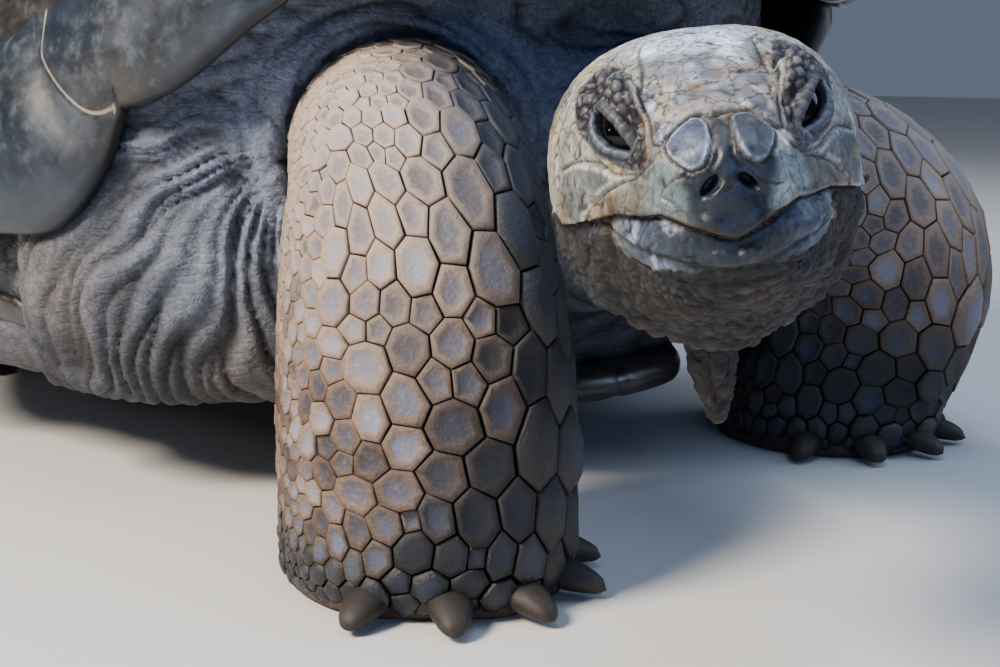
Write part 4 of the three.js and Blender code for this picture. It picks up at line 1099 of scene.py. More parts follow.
# %% Sculpting the face
def face_relief(q):
    """Relief in mm, and all the hide's marks, for points on the head in its own frame."""
    spots, scale = face_map(q)
    side = np.abs(q[:, 0])
    above = q[:, 2] - np.interp(side, *MOUTH.T)
    spots = spots + (several(q, 16, (101, 102)) * 0.7 + several(q, 5, (103, 104)) * 0.28)
    half = np.stack([np.abs(spots[:, 0]), spots[:, 1]], 1)
    e = to_eye(q)
    relief = np.zeros(len(q))
    crease = np.zeros(len(q))
    horn = np.full(len(q), 0.75)
    streaky = np.full(len(q), 0.8)
    blotch, patch, run_down = noise(q, 30, 111), layered(q, 15, 112), streaks(q, 4.2, 115)

    # The sides of the head: grey bone-coloured shields, streaked downwards, with warm and pale patches.
    tint = toned(
        np.tile(TONES["bone"], (len(q), 1)),
        ("olive", 0.35 + 0.6 * blotch + 0.35 * patch),
        ("warm_bone", 0.75 * smoothstep(noise(q, 24, 113), 0.05, 0.55)),
        ("pale", 0.8 * smoothstep(run_down + 0.5 * noise(q, 26, 114), 0.25, 0.95)),
        ("olive", 0.7 * smoothstep(-run_down, 0.35, 1.0)),
    )
    eye_area = away_from(half, EYE_FIELD, True) * scale
    in_eye = fade(eye_area, -1.0, 1.0)
    skin_below = np.maximum.reduce([
        fade(half[:, 1], -4.5, -2.0),
        fade(above, -2.5, 0.5) * smoothstep(half[:, 0], 30, 40),
        smoothstep(q[:, 1], 60, 84),
    ])

    for name, (outline, lift, roundness, groove, colour, cover) in PLATES.items():
        edge = away_from(half if outline[0][0] > 0 else spots, outline, True) * scale
        inside = fade(edge, -0.7, 0.3)
        relief += lift * (1 - np.exp(np.minimum(edge, 0) / roundness)) * inside
        crease = np.maximum(crease, bell(edge, 0, 1.15) * (groove > 0.5))
        relief -= groove * bell(edge, 0, 0.8)
        share = cover * (inside if groove else fade(edge, -4, 4))
        layers = [(linear(colour), share * (0.85 + 0.35 * patch))]
        if name in ("forehead", "drop"):
            horn, streaky = mix(horn, 1.0, inside), mix(streaky, 0.05, inside)
            layers += [
                # Painted sheen: pale sky-blue patches where the smooth horn would shine.
                ("sky", 0.85 * inside * smoothstep(noise(q, 20, 122) + 0.5 * noise(q, 7, 123), 0.0, 0.6)),
                ("plum", 0.85 * inside * smoothstep(noise(q, 17, 124) + 0.5 * patch, 0.0, 0.6)),
            ]
        if name == "forehead":
            low = fade(spots[:, 1], 45, 60) * smoothstep(layered(q, 12, 128), -0.3, 0.5)
            layers += [
                ("warm_bone", 0.35 * inside * low),
                ("pale", 0.4 * inside * smoothstep(noise(q, 9, 129) + 0.4 * blotch, 0.25, 0.7)),
            ]
        if name == "drop":
            drop_in_shade = smoothstep(q[:, 0], -1, 1)  # the animal's left drop lies in shade and is painted dark
            layers += [
                ("lip_middle", 0.85 * inside * drop_in_shade),
                # A painted highlight along the drop's raised rim, weaker on the drop in shade.
                ("sky", bell(edge, -1.3, 0.7) * mix(0.85, 0.35, drop_in_shade)),
            ]
            relief += 0.5 * bell(edge, -1.3, 0.8) + 0.45 * noise(q * [1, 1, 0.6], 3.6, 125) * inside
        if name in ("cheek", "upper_jaw"):
            streaky = mix(streaky, 0.15, inside)
        if name == "cheek":
            layers += [
                ("warm_bone", 0.7 * inside * smoothstep(noise(q, 13, 126), 0.15, 0.6)),
                ("pale", 0.5 * bell(edge, -1.6, 1.0) * (half[:, 1] > 12)),
            ]
        tint = toned(tint, *layers)
    ragged = 1 + 0.5 * noise(q, 6, 127)
    for line, width, depth in SEAMS:
        edge = away_from(half, line) * scale
        relief -= depth * ragged * bell(edge, 0, width)
        drawn = np.clip(0.95 * ragged, 0, 1) * bell(edge, 0, 0.75 * width) * min(1, depth + 0.2)
        crease = np.maximum(crease, drawn)

    # Hair cracks on the horn, broken off here and there.
    first, second, own = cells(q + 5 * several(q, 14, (131, 132, 133)), 21.0, 134)
    gap = (second - first) * 21.0
    plain = (1 - in_eye) * (1 - skin_below) * smoothstep(noise(q, 17, 135), 0.0, 0.35)
    relief -= 0.8 * bell(gap, 0, 0.9) * plain
    speck = smoothstep(noise(q, 3.6, 136) + 0.6 * noise(q, 13, 137), 0.3, 0.6)
    speck = speck * (1 - in_eye) * (1 - skin_below)
    crease = np.maximum.reduce([crease, 0.9 * bell(gap, 0, 0.9) * plain, 0.35 * speck])
    tint = toned(
        tint,
        # Painted sheen: the top of the crown is laid over with pale sky blue, as a reflection.
        ("sky", 0.55 * smoothstep(spots[:, 1], 56, 80) * (1 - skin_below)),
        (TONES["olive"] * 0.6, 0.7 * speck),
    )
    tint = tint * (1 + 0.16 * (own - 0.5) * (1 - in_eye))[:, None]
    relief += (0.5 * layered(q, 8.0, 141) + 0.3 * run_down * streaky) * (1 - in_eye)

    # The upper lid's pad: a heap of soft bumps. The lids' rolls stay smooth and banded.
    arch = np.maximum(1 - (e[:, 0] / EYE["half"]) ** 2, -0.8)
    lid_line = e[:, 1] - EYE["above"] * arch
    lower_line = -EYE["below"] * arch - e[:, 1]
    below_eye = smoothstep(-e[:, 1] - 0.28 * np.maximum(e[:, 0] - 9, 0), -1.5, 0.5)
    by_corners = in_eye * fade(np.abs(e[:, 0]), EYE["half"] + 1.5, EYE["half"] + 5)
    on_upper = by_corners * smoothstep(lid_line, -0.5, 0.5) * fade(lid_line, 6.0, 7.6) * (1 - below_eye)
    on_lower = by_corners * smoothstep(lower_line, -0.5, 0.5) * fade(lower_line, 10.5, 13) * below_eye
    in_gap = in_eye * smoothstep(-opening(e), -0.3, 0.8)
    on_pad = in_eye * np.clip(1 - on_upper - on_lower - in_gap, 0, 1)
    first, second, own = cells(e * [1, 1.15, 0.7] + 1.2 * noise(q, 7, 150)[:, None], 5.9, 151)
    to_next = second - first
    lump = 1 - np.clip(first / 0.66, 0, 1) ** 2
    band = np.abs(np.sin((e[:, 0] + 2 * noise(q, 7, 161)) * math.pi / 4.6))
    groove = bell(lid_line, 6.9, 0.8) + bell(lower_line, 5.8, 0.8) + bell(lower_line, 10.8, 0.8)
    relief += on_pad * (1.9 * lump - 0.7 + 0.6 * (own - 0.5) + 0.9 * noise(q, 13, 152))
    relief -= (on_lower * 0.6 + on_upper * 0.9) * (1 - band) ** 3
    relief += 0.35 * in_eye * noise(q, 3.0, 162)
    relief -= 1.0 * bell(eye_area, 0, 1.1)
    crease = np.maximum.reduce([
        crease,
        on_pad * fade(to_next, 0.04, 0.3) * 0.7,
        # The wall inside the eye's opening is painted dark as shade.
        0.85 * in_gap,
        (on_lower + 1.4 * on_upper) * 0.5 * (1 - band) ** 4,
        in_eye * 0.8 * np.clip(groove, 0, 1),
        0.7 * bell(eye_area, 0, 1.0),
    ])
    tint = toned(tint, ("pad", in_eye * 0.97))
    # Painted light on the pad: each bump is lighter on its top and darker round its foot, and has a random
    # tone of its own.
    tint = tint * (1 + on_pad * (0.5 * (lump - 0.4) + 0.35 * (own - 0.5)))[:, None]
    tint = toned(
        tint,
        ("lid", np.clip(on_lower, 0, 1) * 0.85),
        # A painted highlight along the crests of the lower lid's rolls.
        ("lid_roll_highlight", 0.8 * on_lower * (bell(lower_line, 2.6, 1.6) + 0.6 * bell(lower_line, 8.3, 1.2))),
    )
    horn = mix(mix(horn, 0.85, in_eye), 0.9, on_lower)
    streaky = streaky * (1 - in_eye)

    # The beak: a dark wet middle, pale finely grooved sides.
    along = fade(q[:, 1], -4, 16)
    off_drop = smoothstep(away_from(half, PLATES["drop"][0], True) * scale, -0.2, 0.8)
    beak = (above > 0) * fade(half[:, 0], 17, 21) * fade(half[:, 1], 19, 22) * off_drop
    stripe = streaks(q, 2.4, 171, 14.0)
    nose_half = np.interp(half[:, 1], *NOSE_HALF)
    on_nose = (above > 0) * fade(half[:, 0], nose_half - 2.6, nose_half + 1.6) * fade(half[:, 1], 29, 33)
    on_nose = on_nose * off_drop
    horn = mix(horn, 1.0, np.maximum(on_nose, beak))
    streaky = mix(mix(streaky, 0.45, beak), 0.0, on_nose)
    relief += 0.4 * stripe * beak * (1 - on_nose)

    # Mouth and lower lip.
    lip_edge = away_from(half, LIP) * scale
    on_lip = along * (above < 0) * smoothstep(half[:, 1], -5.6, -4.2) * fade(half[:, 0], 26, 40)
    lip_sheen = smoothstep(patch + 0.4 * run_down, 0.1, 0.8) * smoothstep(half[:, 0], 8, 18)
    tint = toned(
        tint,
        ("beak", beak * 0.92),
        ("beak_dark", beak * 0.75 * smoothstep(stripe + 0.3 * patch, 0.0, 0.7)),
        ("warm_bone", beak * 0.3 * smoothstep(patch, 0.1, 0.6)),
        ("nose", on_nose * 0.96),
        ("throat_blue", on_nose * 0.45 * smoothstep(streaks(q, 3.4, 173), 0.2, 0.9)),
        ("lip", on_lip * 0.95),
        ("sky", on_lip * 0.4 * lip_sheen),
        ("lip_middle", on_lip * 0.95 * fade(half[:, 0], 6, 18)),
        ("ochre", 0.8 * along * bell(above, 1.6, 1.3) * fade(half[:, 0], 12, 20)),
    )
    relief -= 1.5 * bell(lip_edge, 0, 1.3)
    relief += 0.5 * streaks(q, 3.2, 175, 12.0) * on_lip * fade(half[:, 0], 10, 24)
    crease = np.maximum.reduce([crease, along * bell(above, 0, 1.6), 0.85 * bell(lip_edge, 0, 1.2)])
    horn = mix(horn, 0.95, on_lip)
    streaky = mix(streaky, 0.03, on_lip)

    # Chin, throat and the corners of the jaw are loose skin: granules, and folds that hang down.
    off_lip = skin_below * (1 - on_lip) * (1 - in_eye)
    calm_mouth = smoothstep(np.abs(above), 1.5, 6)
    horn = mix(horn, 0.15, off_lip)
    streaky = streaky * (1 - off_lip)
    large = cells(q + 1.6 * noise(q, 9, 180)[:, None], 8.4, 181)
    small = cells(q, 4.4, 186)
    coarse = smoothstep(noise(q, 26, 187), -0.35, 0.1)
    first, second, own = (mix(a, b, coarse) for a, b in zip(small, large))
    granule = 1 - np.clip(first / 0.66, 0, 1) ** 2
    calm = 0.55 + 0.45 * smoothstep(noise(q, 30, 182), -0.3, 0.4)
    hanging = pads(q * [1, 0.8, 0.2] * 0.9 + 2.2 * several(q, 22, (183, 184, 185)), 12.0, 191)
    low_down = np.maximum(0.7 * smoothstep(half[:, 0], 18, 30), smoothstep(-q[:, 2], 66, 82))
    fold_share = off_lip * low_down * (q[:, 1] < 84)
    under_lip = away_from(half, UNDER_LIP) * scale
    relief += off_lip * calm * calm_mouth * (3.0 * granule - 1.7 + 0.9 * (own - 0.5))
    relief += fold_share * calm_mouth * (7.0 * hanging - 4.2)
    relief -= 1.4 * off_lip * bell(under_lip, 0, 1.6)
    crease = np.maximum.reduce([
        crease,
        off_lip * fade(second - first, 0.02, 0.22) * 0.85,
        fold_share * fade(hanging, 0.1, 0.55) * 0.85,
        off_lip * 0.8 * bell(under_lip, 0, 1.3),
    ])
    tint = toned(
        tint,
        # The chin and throat are painted near black: their own dark skin, darkened further as painted shade.
        ("throat", off_lip * 0.95),
        ("throat_blue", off_lip * 0.8 * smoothstep(noise(q, 26, 194) + 0.3 * own, 0.0, 0.6)),
        ("ochre", off_lip * 0.3 * smoothstep(noise(q, 20, 193), 0.2, 0.7)),
    )
    shade = 0.9 * granule - 0.5 + 0.5 * (own - 0.5) - 0.35 * bell(q[:, 0], 0, 34)
    tint = tint * (1 + off_lip * shade)[:, None]

    # A rust streak under the inner corner of each eye, where tears run.
    wet_track = bell(away_from(half, TEAR) * scale, 0, 1.9) * (0.7 + 0.3 * streaks(q, 2.0, 195))
    tint = toned(tint, ("rust", wet_track * np.where(q[:, 0] < 0, 0.5, 0.3)))
    cracked = (1 - in_eye) * (1 - skin_below) * (1 - on_nose) * mix(0.6, 1.0, smoothstep(half[:, 1], 25, 35))
    shares = {"crease": crease, "horn": horn, "streaky": streaky, "granular": on_pad, "fissured": cracked}
    marks = {name: np.clip(values, 0, 1) for name, values in shares.items()}
    return relief, {**marks, "tint": np.clip(tint, 0.002, 1), "to_next": to_next}


# %% Skin pieces of the head
CROWN_START = 14.0  # the fine mesh of the face ends here, in the head's depth


def head_and_neck(q):
    return whole(from_head(q))


HEAD_SKINS = {
    # name: (lowest corner, highest corner, step, joins)
    "skin_face": ((-96, -122, -142), (96, CROWN_START, 84), 1.12, [(1, 1)]),
    "skin_crown": ((-100, CROWN_START, -176), (100, HEAD_END, 84), 1.7, [(1, -1), (1, 1)]),
}
for name, (lowest, highest, step, joins) in HEAD_SKINS.items():
    q, quads, normals, outside = meshed(head_and_neck, lowest, highest, step, joins)
    relief, marks = face_relief(q)
    neck_relief, neck_crease = body_relief(from_head(q))
    nape = smoothstep(q[:, 1], 70, HEAD_END)
    relief = mix(relief, neck_relief, nape) - np.clip(outside / TUCK, 0, 1) * TUCK_DEPTH
    marks["crease"] = mix(marks["crease"], neck_crease, nape)
    for mark in ("horn", "streaky", "granular", "fissured"):
        marks[mark] = marks[mark] * (1 - nape)
    marks["tint"] = mix(marks["tint"], body_tint(from_head(q)), nape[:, None])
    finished(name, from_head(q + normals * relief[:, None]), quads, marks, ["head"], "face_scales")

# %% [markdown]
# ## Eyes
# A tortoise's eye is a wet, nearly black brown ball, with a little iris round a darker pupil. The ball is
# turned as a sphere whose front swells slightly where the clear cornea is.

# %% Eyeballs
wet_eye, tree, shader = new_material("wet_eye_tissue", Roughness=0.03, IOR=1.34, Specular_IOR_Level=0.35)
around_pupil = node(tree, (MARK, {"attribute_name": "iris"})).outputs["Fac"]
radial = node(tree, NOISE, node(tree, "ShaderNodeTexCoord").outputs["Object"], per_mm(1.2), 3.0)
iris = node(tree, BLEND, radial, rgba("#080606"), rgba("#110c0a"))
ball = node(tree, BLEND, node(tree, RAMP, around_pupil, 0.45, 0.55), rgba("#030303"), iris)
ball = node(tree, BLEND, node(tree, RAMP, around_pupil, 0.72, 0.86), ball, rgba("#070606"))
node(tree, shader, Base_Color=ball)
IRIS_EDGE = 0.62  # radians from the pupil's middle, where the mark `iris` is 1


def eyeball(side):
    rows, columns = 40, 56
    polar = np.linspace(0, math.pi, rows + 1)[1:-1]
    turn = np.linspace(0, 2 * math.pi, columns, endpoint=False)
    polar, turn = (grid.ravel() for grid in np.meshgrid(polar, turn, indexing="ij"))
    polar, turn = np.concatenate([polar, [0, math.pi]]), np.concatenate([turn, [0, 0]])
    radius = EYE["radius"] - 0.3 + 0.5 * bell(polar, 0, 0.5)
    out = np.stack([np.sin(polar) * np.cos(turn), np.sin(polar) * np.sin(turn), np.cos(polar)], 1)
    e = out * radius[:, None]
    q = (e @ EYE_AXES.T + EYE["at"]) * [side, 1, 1]
    faces = [face[::side] for face in tube_faces(rows - 1, columns)]
    return from_head(q), faces, {"iris": polar / IRIS_EDGE}


for side, word in ((-1, "right"), (1, "left")):
    points, faces, marks = eyeball(side)
    dressed(new_piece(f"eyeball_{word}", points, faces, wet_eye, marks), "eye", f"eye_{word}")

# %% [markdown]
# ## Scales on the legs
# A leg's scales are plates of horn grown close together, each a rounded polygon with a raised rim and a
# worn, dished middle. They are small behind and on the outer side and grow towards the inner front, where
# the lowest are as long as a thumb and domed. First their centres are strewn over the unrolled leg, none
# nearer than its neighbours' size allows. A net of triangles through the centres is laid on the skin, and
# Geometry Nodes turns the net inside out, so that each centre becomes a polygon, and raises a scale on it.

# %% The finish of leg scales
leg_horn, tree, shader = new_material("worn_leg_keratin", IOR=1.54, Specular_IOR_Level=0.42)
place = node(tree, "ShaderNodeTexCoord").outputs["Object"]
height = node(tree, "ShaderNodeSeparateXYZ", place).outputs["Z"]
rim, tone, wet, top, dark = (
    node(tree, (MARK, {"attribute_name": mark})).outputs["Fac"]
    for mark in ("rim", "tone", "wet", "top", "dark")
)
cloud = node(tree, NOISE, place, per_mm(30), 4.0, 0.6)
scratch = node(tree, NOISE, place, per_mm(4.5), 6.0, 0.72)
dust = node(tree, NOISE, place, per_mm(1.7), 3.0, 0.7)
pitted = node(tree, "ShaderNodeTexVoronoi", place, per_mm(2.6))
middle = node(tree, BLEND, tone, rgba("#3f4960"), rgba("#868b9c"))
middle = node(tree, BLEND, node(tree, RAMP, scratch, 0.5, 0.72, 0.0, 0.6), middle, rgba("#a9aeb4"))
edge = node(tree, BLEND, node(tree, RAMP, cloud, 0.35, 0.65), rgba("#7c6757"), rgba("#ab937c"))
edge = node(tree, BLEND, node(tree, RAMP, scratch, 0.3, 0.55, 0.7, 0.0), edge, rgba("#4d3a2e"))
edge = node(tree, BLEND, node(tree, RAMP, dust, 0.4, 0.6, 0.4, 0.0), edge, rgba("#5d4838"))
rough_rim = node(tree, PLUS, rim, node(tree, RAMP, scratch, 0.3, 0.7, -0.3, 0.3))
colour = node(tree, BLEND, node(tree, RAMP, rough_rim, 0.18, 0.62), middle, edge)
own_shade = node(tree, BLEND, tone, rgba("#958d8a"), rgba("#ffffff"))
colour = node(tree, MULTIPLIED, 1.0, colour, own_shade)
# Darker down each scale's wall and in the grooves between scales.
darker_down_walls = node(tree, RAMP, node(tree, MINUS, 1.0, top), 0.25, 0.9, 0.0, 0.95)
stain = node(tree, RAMP, cloud, 0.35, 0.7, 0.0, 0.3)
# Higher up the leg the rims turn pale: partly dust, partly painted light where the top of the leg would catch
# more of it.
off_ground = node(tree, RAMP, height, 0.14, 0.33)
dust_and_painted_light = node(tree, TIMES, off_ground, node(tree, RAMP, rough_rim, 0.1, 0.6, 0.3, 0.62))
for share, paint in ((darker_down_walls, "#33251b"), (stain, "#6d5a4e"), (dust_and_painted_light, "#c4b3a5")):
    colour = node(tree, BLEND, share, colour, rgba(paint))
# Where the mark dark is set the colour turns a dark blue: painted shade, and the wet foot.
shade_and_wet = node(tree, MULTIPLIED, 1.0, colour, rgba("#44536a"))
colour = node(tree, BLEND, dark, colour, shade_and_wet)
dry = node(tree, TIMES_PLUS, wet, -0.3, 0.62)
bump = {}
for strength, mm, relief in ((0.8, 1.4, scratch), (0.3, 0.5, pitted)):
    bump = {"Normal": node(tree, "ShaderNodeBump", Strength=strength, Distance=mm * MM, Height=relief, **bump)}
node(tree, shader, Base_Color=colour, Roughness=dry, **bump)
print("leg scale nodes", len(tree.nodes))


# %% Strewing the centres
def strewn(width, height, spacing, seed, tries=26000):
    """Centres on a sheet that joins up sideways, none nearer to another than about its own spacing."""
    draw = np.random.default_rng(seed)
    spots = draw.random((tries, 2)) * [width, height]
    lot = np.where(draw.random(tries) < 0.93, draw.uniform(0.86, 1.1, tries), 0.55)  # a few stay small
    gaps = spacing(spots) * lot
    kept, kept_gaps = np.zeros((0, 2)), np.zeros(0)
    for spot, gap in zip(spots[gaps > 0], gaps[gaps > 0]):
        off = kept - spot
        off[:, 0] -= width * np.round(off[:, 0] / width)
        if not len(kept) or np.all(np.hypot(*off.T) > 0.86 * (gap + kept_gaps) / 2):
            kept, kept_gaps = np.vstack([kept, spot]), np.append(kept_gaps, gap)
    for _ in range(14):  # a little shoving evens them out
        off = kept[:, None] - kept[None]
        off[..., 0] -= width * np.round(off[..., 0] / width)
        away = np.linalg.norm(off, axis=2) + 1e-6
        want = (kept_gaps[:, None] + kept_gaps[None]) / 2 * 1.12
        push = np.clip(1 - away / want, 0, 1) * (away > 1e-3)
        kept += (off / away[..., None] * push[..., None] * want[..., None] * 0.22).sum(1)
        kept[:, 0] %= width
        kept[:, 1] = np.clip(kept[:, 1], 0, height)
    return kept, kept_gaps * (spacing(kept) > 0)


def net(spots, sizes, width):
    """Triangles between neighbouring centres, joined round the leg; none spans a bare place."""
    shifts = [(number, shift) for shift in (0, -1, 1) for number in range(len(spots))]
    placed = [(spots[n, 0] + shift * width, spots[n, 1]) for n, shift in shifts]
    shown = [k for k, (x, _) in enumerate(placed) if -0.35 * width < x < 1.35 * width]
    made = delaunay_2d_cdt([placed[k] for k in shown], [], [], 0, 1e-4)
    source = [shown[origin[0]] if origin else -1 for origin in made[3]]
    triangles = []
    for face in made[2]:
        corners = [source[v] for v in face]
        if min(corners) < 0:
            continue
        at = np.array([placed[c] for c in corners])
        sides = np.linalg.norm(at - np.roll(at, 1, axis=0), axis=1)
        numbers = [shifts[c][0] for c in corners]
        if 0 <= at[:, 0].mean() < width and sides.max() < 2.6 * sizes[numbers].mean():
            triangles.append(numbers)
    return triangles


# %% The node tree that raises scales
ON_POINTS = ("GeometryNodeStoreNamedAttribute", {"data_type": "FLOAT", "domain": "POINT"})
ON_FACES = ("GeometryNodeStoreNamedAttribute", {"data_type": "FLOAT", "domain": "FACE"})
NAMED = ("GeometryNodeInputNamedAttribute", {"data_type": "FLOAT"})
SHRUNK = ("GeometryNodeScaleElements", {"domain": "FACE"})  # geometry, selection, scale
RAISED = ("GeometryNodeExtrudeMesh", {"mode": "FACES"})
LEG_ROUND = 0.085  # metres, the radius of a leg's skin
DEEPEST_DISH, HIGHEST_WALL, UNEVEN = 2.1 * MM, 4.2 * MM, 2.2 * MM


def scale_tree():
    """Geometry Nodes: polygons round the net's points, each raised to a rim, and dished or domed."""
    made = bpy.data.node_groups.new("raised_scales", "GeometryNodeTree")
    sockets = [("Geometry", "Geometry"), ("Groove", "Float"), ("Height", "Float"), ("Dish", "Float"),
               ("Dome", "Float"), ("Seed", "Int"), ("Finish", "Material")]
    for name, kind in sockets:
        made.interface.new_socket(name, in_out="INPUT", socket_type=f"NodeSocket{kind}")
    made.interface.new_socket("Geometry", in_out="OUTPUT", socket_type="NodeSocketGeometry")
    given = made.nodes.new("NodeGroupInput").outputs

    # Each polygon comes apart from the others, and keeps its reach and a random tone.
    polygons = node(made, "GeometryNodeDualMesh", given["Geometry"])
    apart = node(made, "GeometryNodeSplitEdges", polygons)
    size = node(made, ("ShaderNodeMath", {"operation": "SQRT"}), node(made, "GeometryNodeInputMeshFaceArea"))
    chance = node(made, ("FunctionNodeRandomValue", {"data_type": "FLOAT"}), Seed=given["Seed"])
    bed = node(made, ON_FACES, apart, True, "reach", size)
    bed = node(made, ON_FACES, bed, True, "tone", chance)
    bed = node(made, ON_POINTS, bed, True, "rim", 1.0)
    bed = node(made, ON_POINTS, bed, True, "top", 0.0)
    reach = node(made, NAMED, "reach")
    dome = node(made, NAMED, "dome")  # 0 for a dished scale, 1 for a domed one
    vary = node(made, TIMES_PLUS, node(made, NAMED, "tone"), 0.5, 0.75)

    # How high the wall, the lip, the bowl and its heart are raised; below 0 they are sunk.
    dish = node(made, LEAST, given["Dish"], node(made, OVER, DEEPEST_DISH, reach))
    stand = node(made, TIMES, node(made, TIMES, reach, given["Height"]), vary)
    stand = node(made, LEAST, stand, HIGHEST_WALL)
    bulge = node(made, TIMES, node(made, TIMES, reach, reach), 1 / (8 * LEG_ROUND))  # the skin's own
    depths = []
    for dome_share, dish_share in ((1.0, 1.0), (0.45, 0.4)):
        up = node(made, TIMES, dome, node(made, TIMES, given["Dome"], dome_share))
        down = node(made, TIMES, node(made, MINUS, 1.0, dome), node(made, TIMES, dish, dish_share))
        depths.append(node(made, TIMES, reach, node(made, MINUS, up, down)))
    shrunk = node(made, MINUS, 1.0, node(made, OVER, given["Groove"], reach))
    steps = (
        # how far it is raised, the share that its top shrinks to, a mark on the top, and its value
        (node(made, PLUS, stand, bulge), shrunk, "top", 0.85),
        (node(made, TIMES, stand, 0.3), 0.95, "top", 1.0),
        (depths[0], 0.66, "rim", 0.45),
        (depths[1], 0.55, "rim", 0.0),
    )
    scale, chosen = bed, True
    for lift, share, mark, value in steps:
        scale = node(made, RAISED, scale, chosen, Offset_Scale=lift, Individual=True)
        chosen = scale.outputs["Top"]
        scale = node(made, SHRUNK, scale, chosen, share)
        scale = node(made, ON_POINTS, scale, chosen, mark, value)

    # A floor shuts each scale, and a little noise takes away its evenness.
    both = node(made, "GeometryNodeJoinGeometry")
    for part in (scale, node(made, "GeometryNodeFlipFaces", bed)):
        node(made, both, part)
    shut = node(made, "GeometryNodeMergeByDistance", both, Distance=0.01 * MM)
    uneven = node(made, MINUS, node(made, NOISE, Scale=per_mm(7), Detail=2.0), 0.5)
    lift = node(made, TIMES, node(made, TIMES, uneven, UNEVEN), node(made, NAMED, "top"))
    normal = node(made, "GeometryNodeInputNormal")
    shove = node(made, ("ShaderNodeVectorMath", {"operation": "SCALE"}), normal, lift)
    rough = node(made, "GeometryNodeSetPosition", shut, Offset=shove)
    smooth = node(made, "GeometryNodeSetShadeSmooth", rough)
    real = node(made, "GeometryNodeRealizeInstances", smooth)
    done = node(made, "GeometryNodeSetMaterial", real, Material=given["Finish"])
    node(made, made.nodes.new("NodeGroupOutput"), done)
    return made


raised_scales = scale_tree()
print("nodes that raise scales", len(raised_scales.nodes))


def through_tree(piece, made, values):
    """The plain mesh that a node tree makes of a piece; its inputs are set by their identifiers first."""
    modifier = piece.modifiers.new("made", "NODES")
    modifier.node_group = made
    names = {s.name: s.identifier for s in made.interface.items_tree if getattr(s, "in_out", "") == "INPUT"}
    for name, value in values.items():
        modifier[names[name]] = value
    bpy.context.view_layer.update()
    evaluated = piece.evaluated_get(bpy.context.evaluated_depsgraph_get())
    mesh = bpy.data.meshes.new_from_object(evaluated)
    piece.modifiers.clear()
    old, piece.data = piece.data, mesh
    bpy.data.meshes.remove(old)
    print(piece.name, "faces", len(mesh.polygons))
    return piece


# %% Scales of the four legs
GIRTH = 620.0  # round a leg's column
LEG_SHEET = 107  # rows that the height of a leg's sheet is added up over
TALL = ([-30, 120, 220, 400, 520], [1.15, 1.05, 0.86, 0.76, 0.72])  # height of a scale over its width, by run
# A scale's width at some turns round the leg, 0 outward and 90 to the front, and its share of that by run.
SIZE_BY_TURN = {
    "foreleg_right": ([-180, -150, -60, -30, -8, 6, 16, 32, 50, 68, 88, 110, 140, 165, 180],
                      [16, 14, 8, 8.5, 10, 13.5, 17.5, 20, 21, 24, 32, 36, 30, 20, 16]),
    "foreleg_left": ([-180, -90, -30, 20, 60, 90, 130, 180], [18, 14, 16, 24, 30, 30, 24, 18]),
    "hindleg": ([-180, -90, 0, 60, 110, 180], [18, 18, 24, 32, 32, 18]),
}
SIZE_BY_HEIGHT = ([-30, 10, 60, 130, 220, 300, 380, 480], [0.6, 0.7, 1.0, 1.12, 0.86, 0.66, 0.52, 0.48])
SCALES_END = 500.0  # along the leg; the body's skin hides the rest
SIDE_SKINS = {"foreleg_right": "skin_front_right", "foreleg_left": "skin_front_left"}
surfaces = {}
for name, (points, quads) in skins.items():
    surfaces[name] = BVHTree.FromPolygons(points.tolist(), quads.tolist())


def body_without_legs(points):
    return soft_min(body_field(points), LIMBS["neck"].field(points), 42)


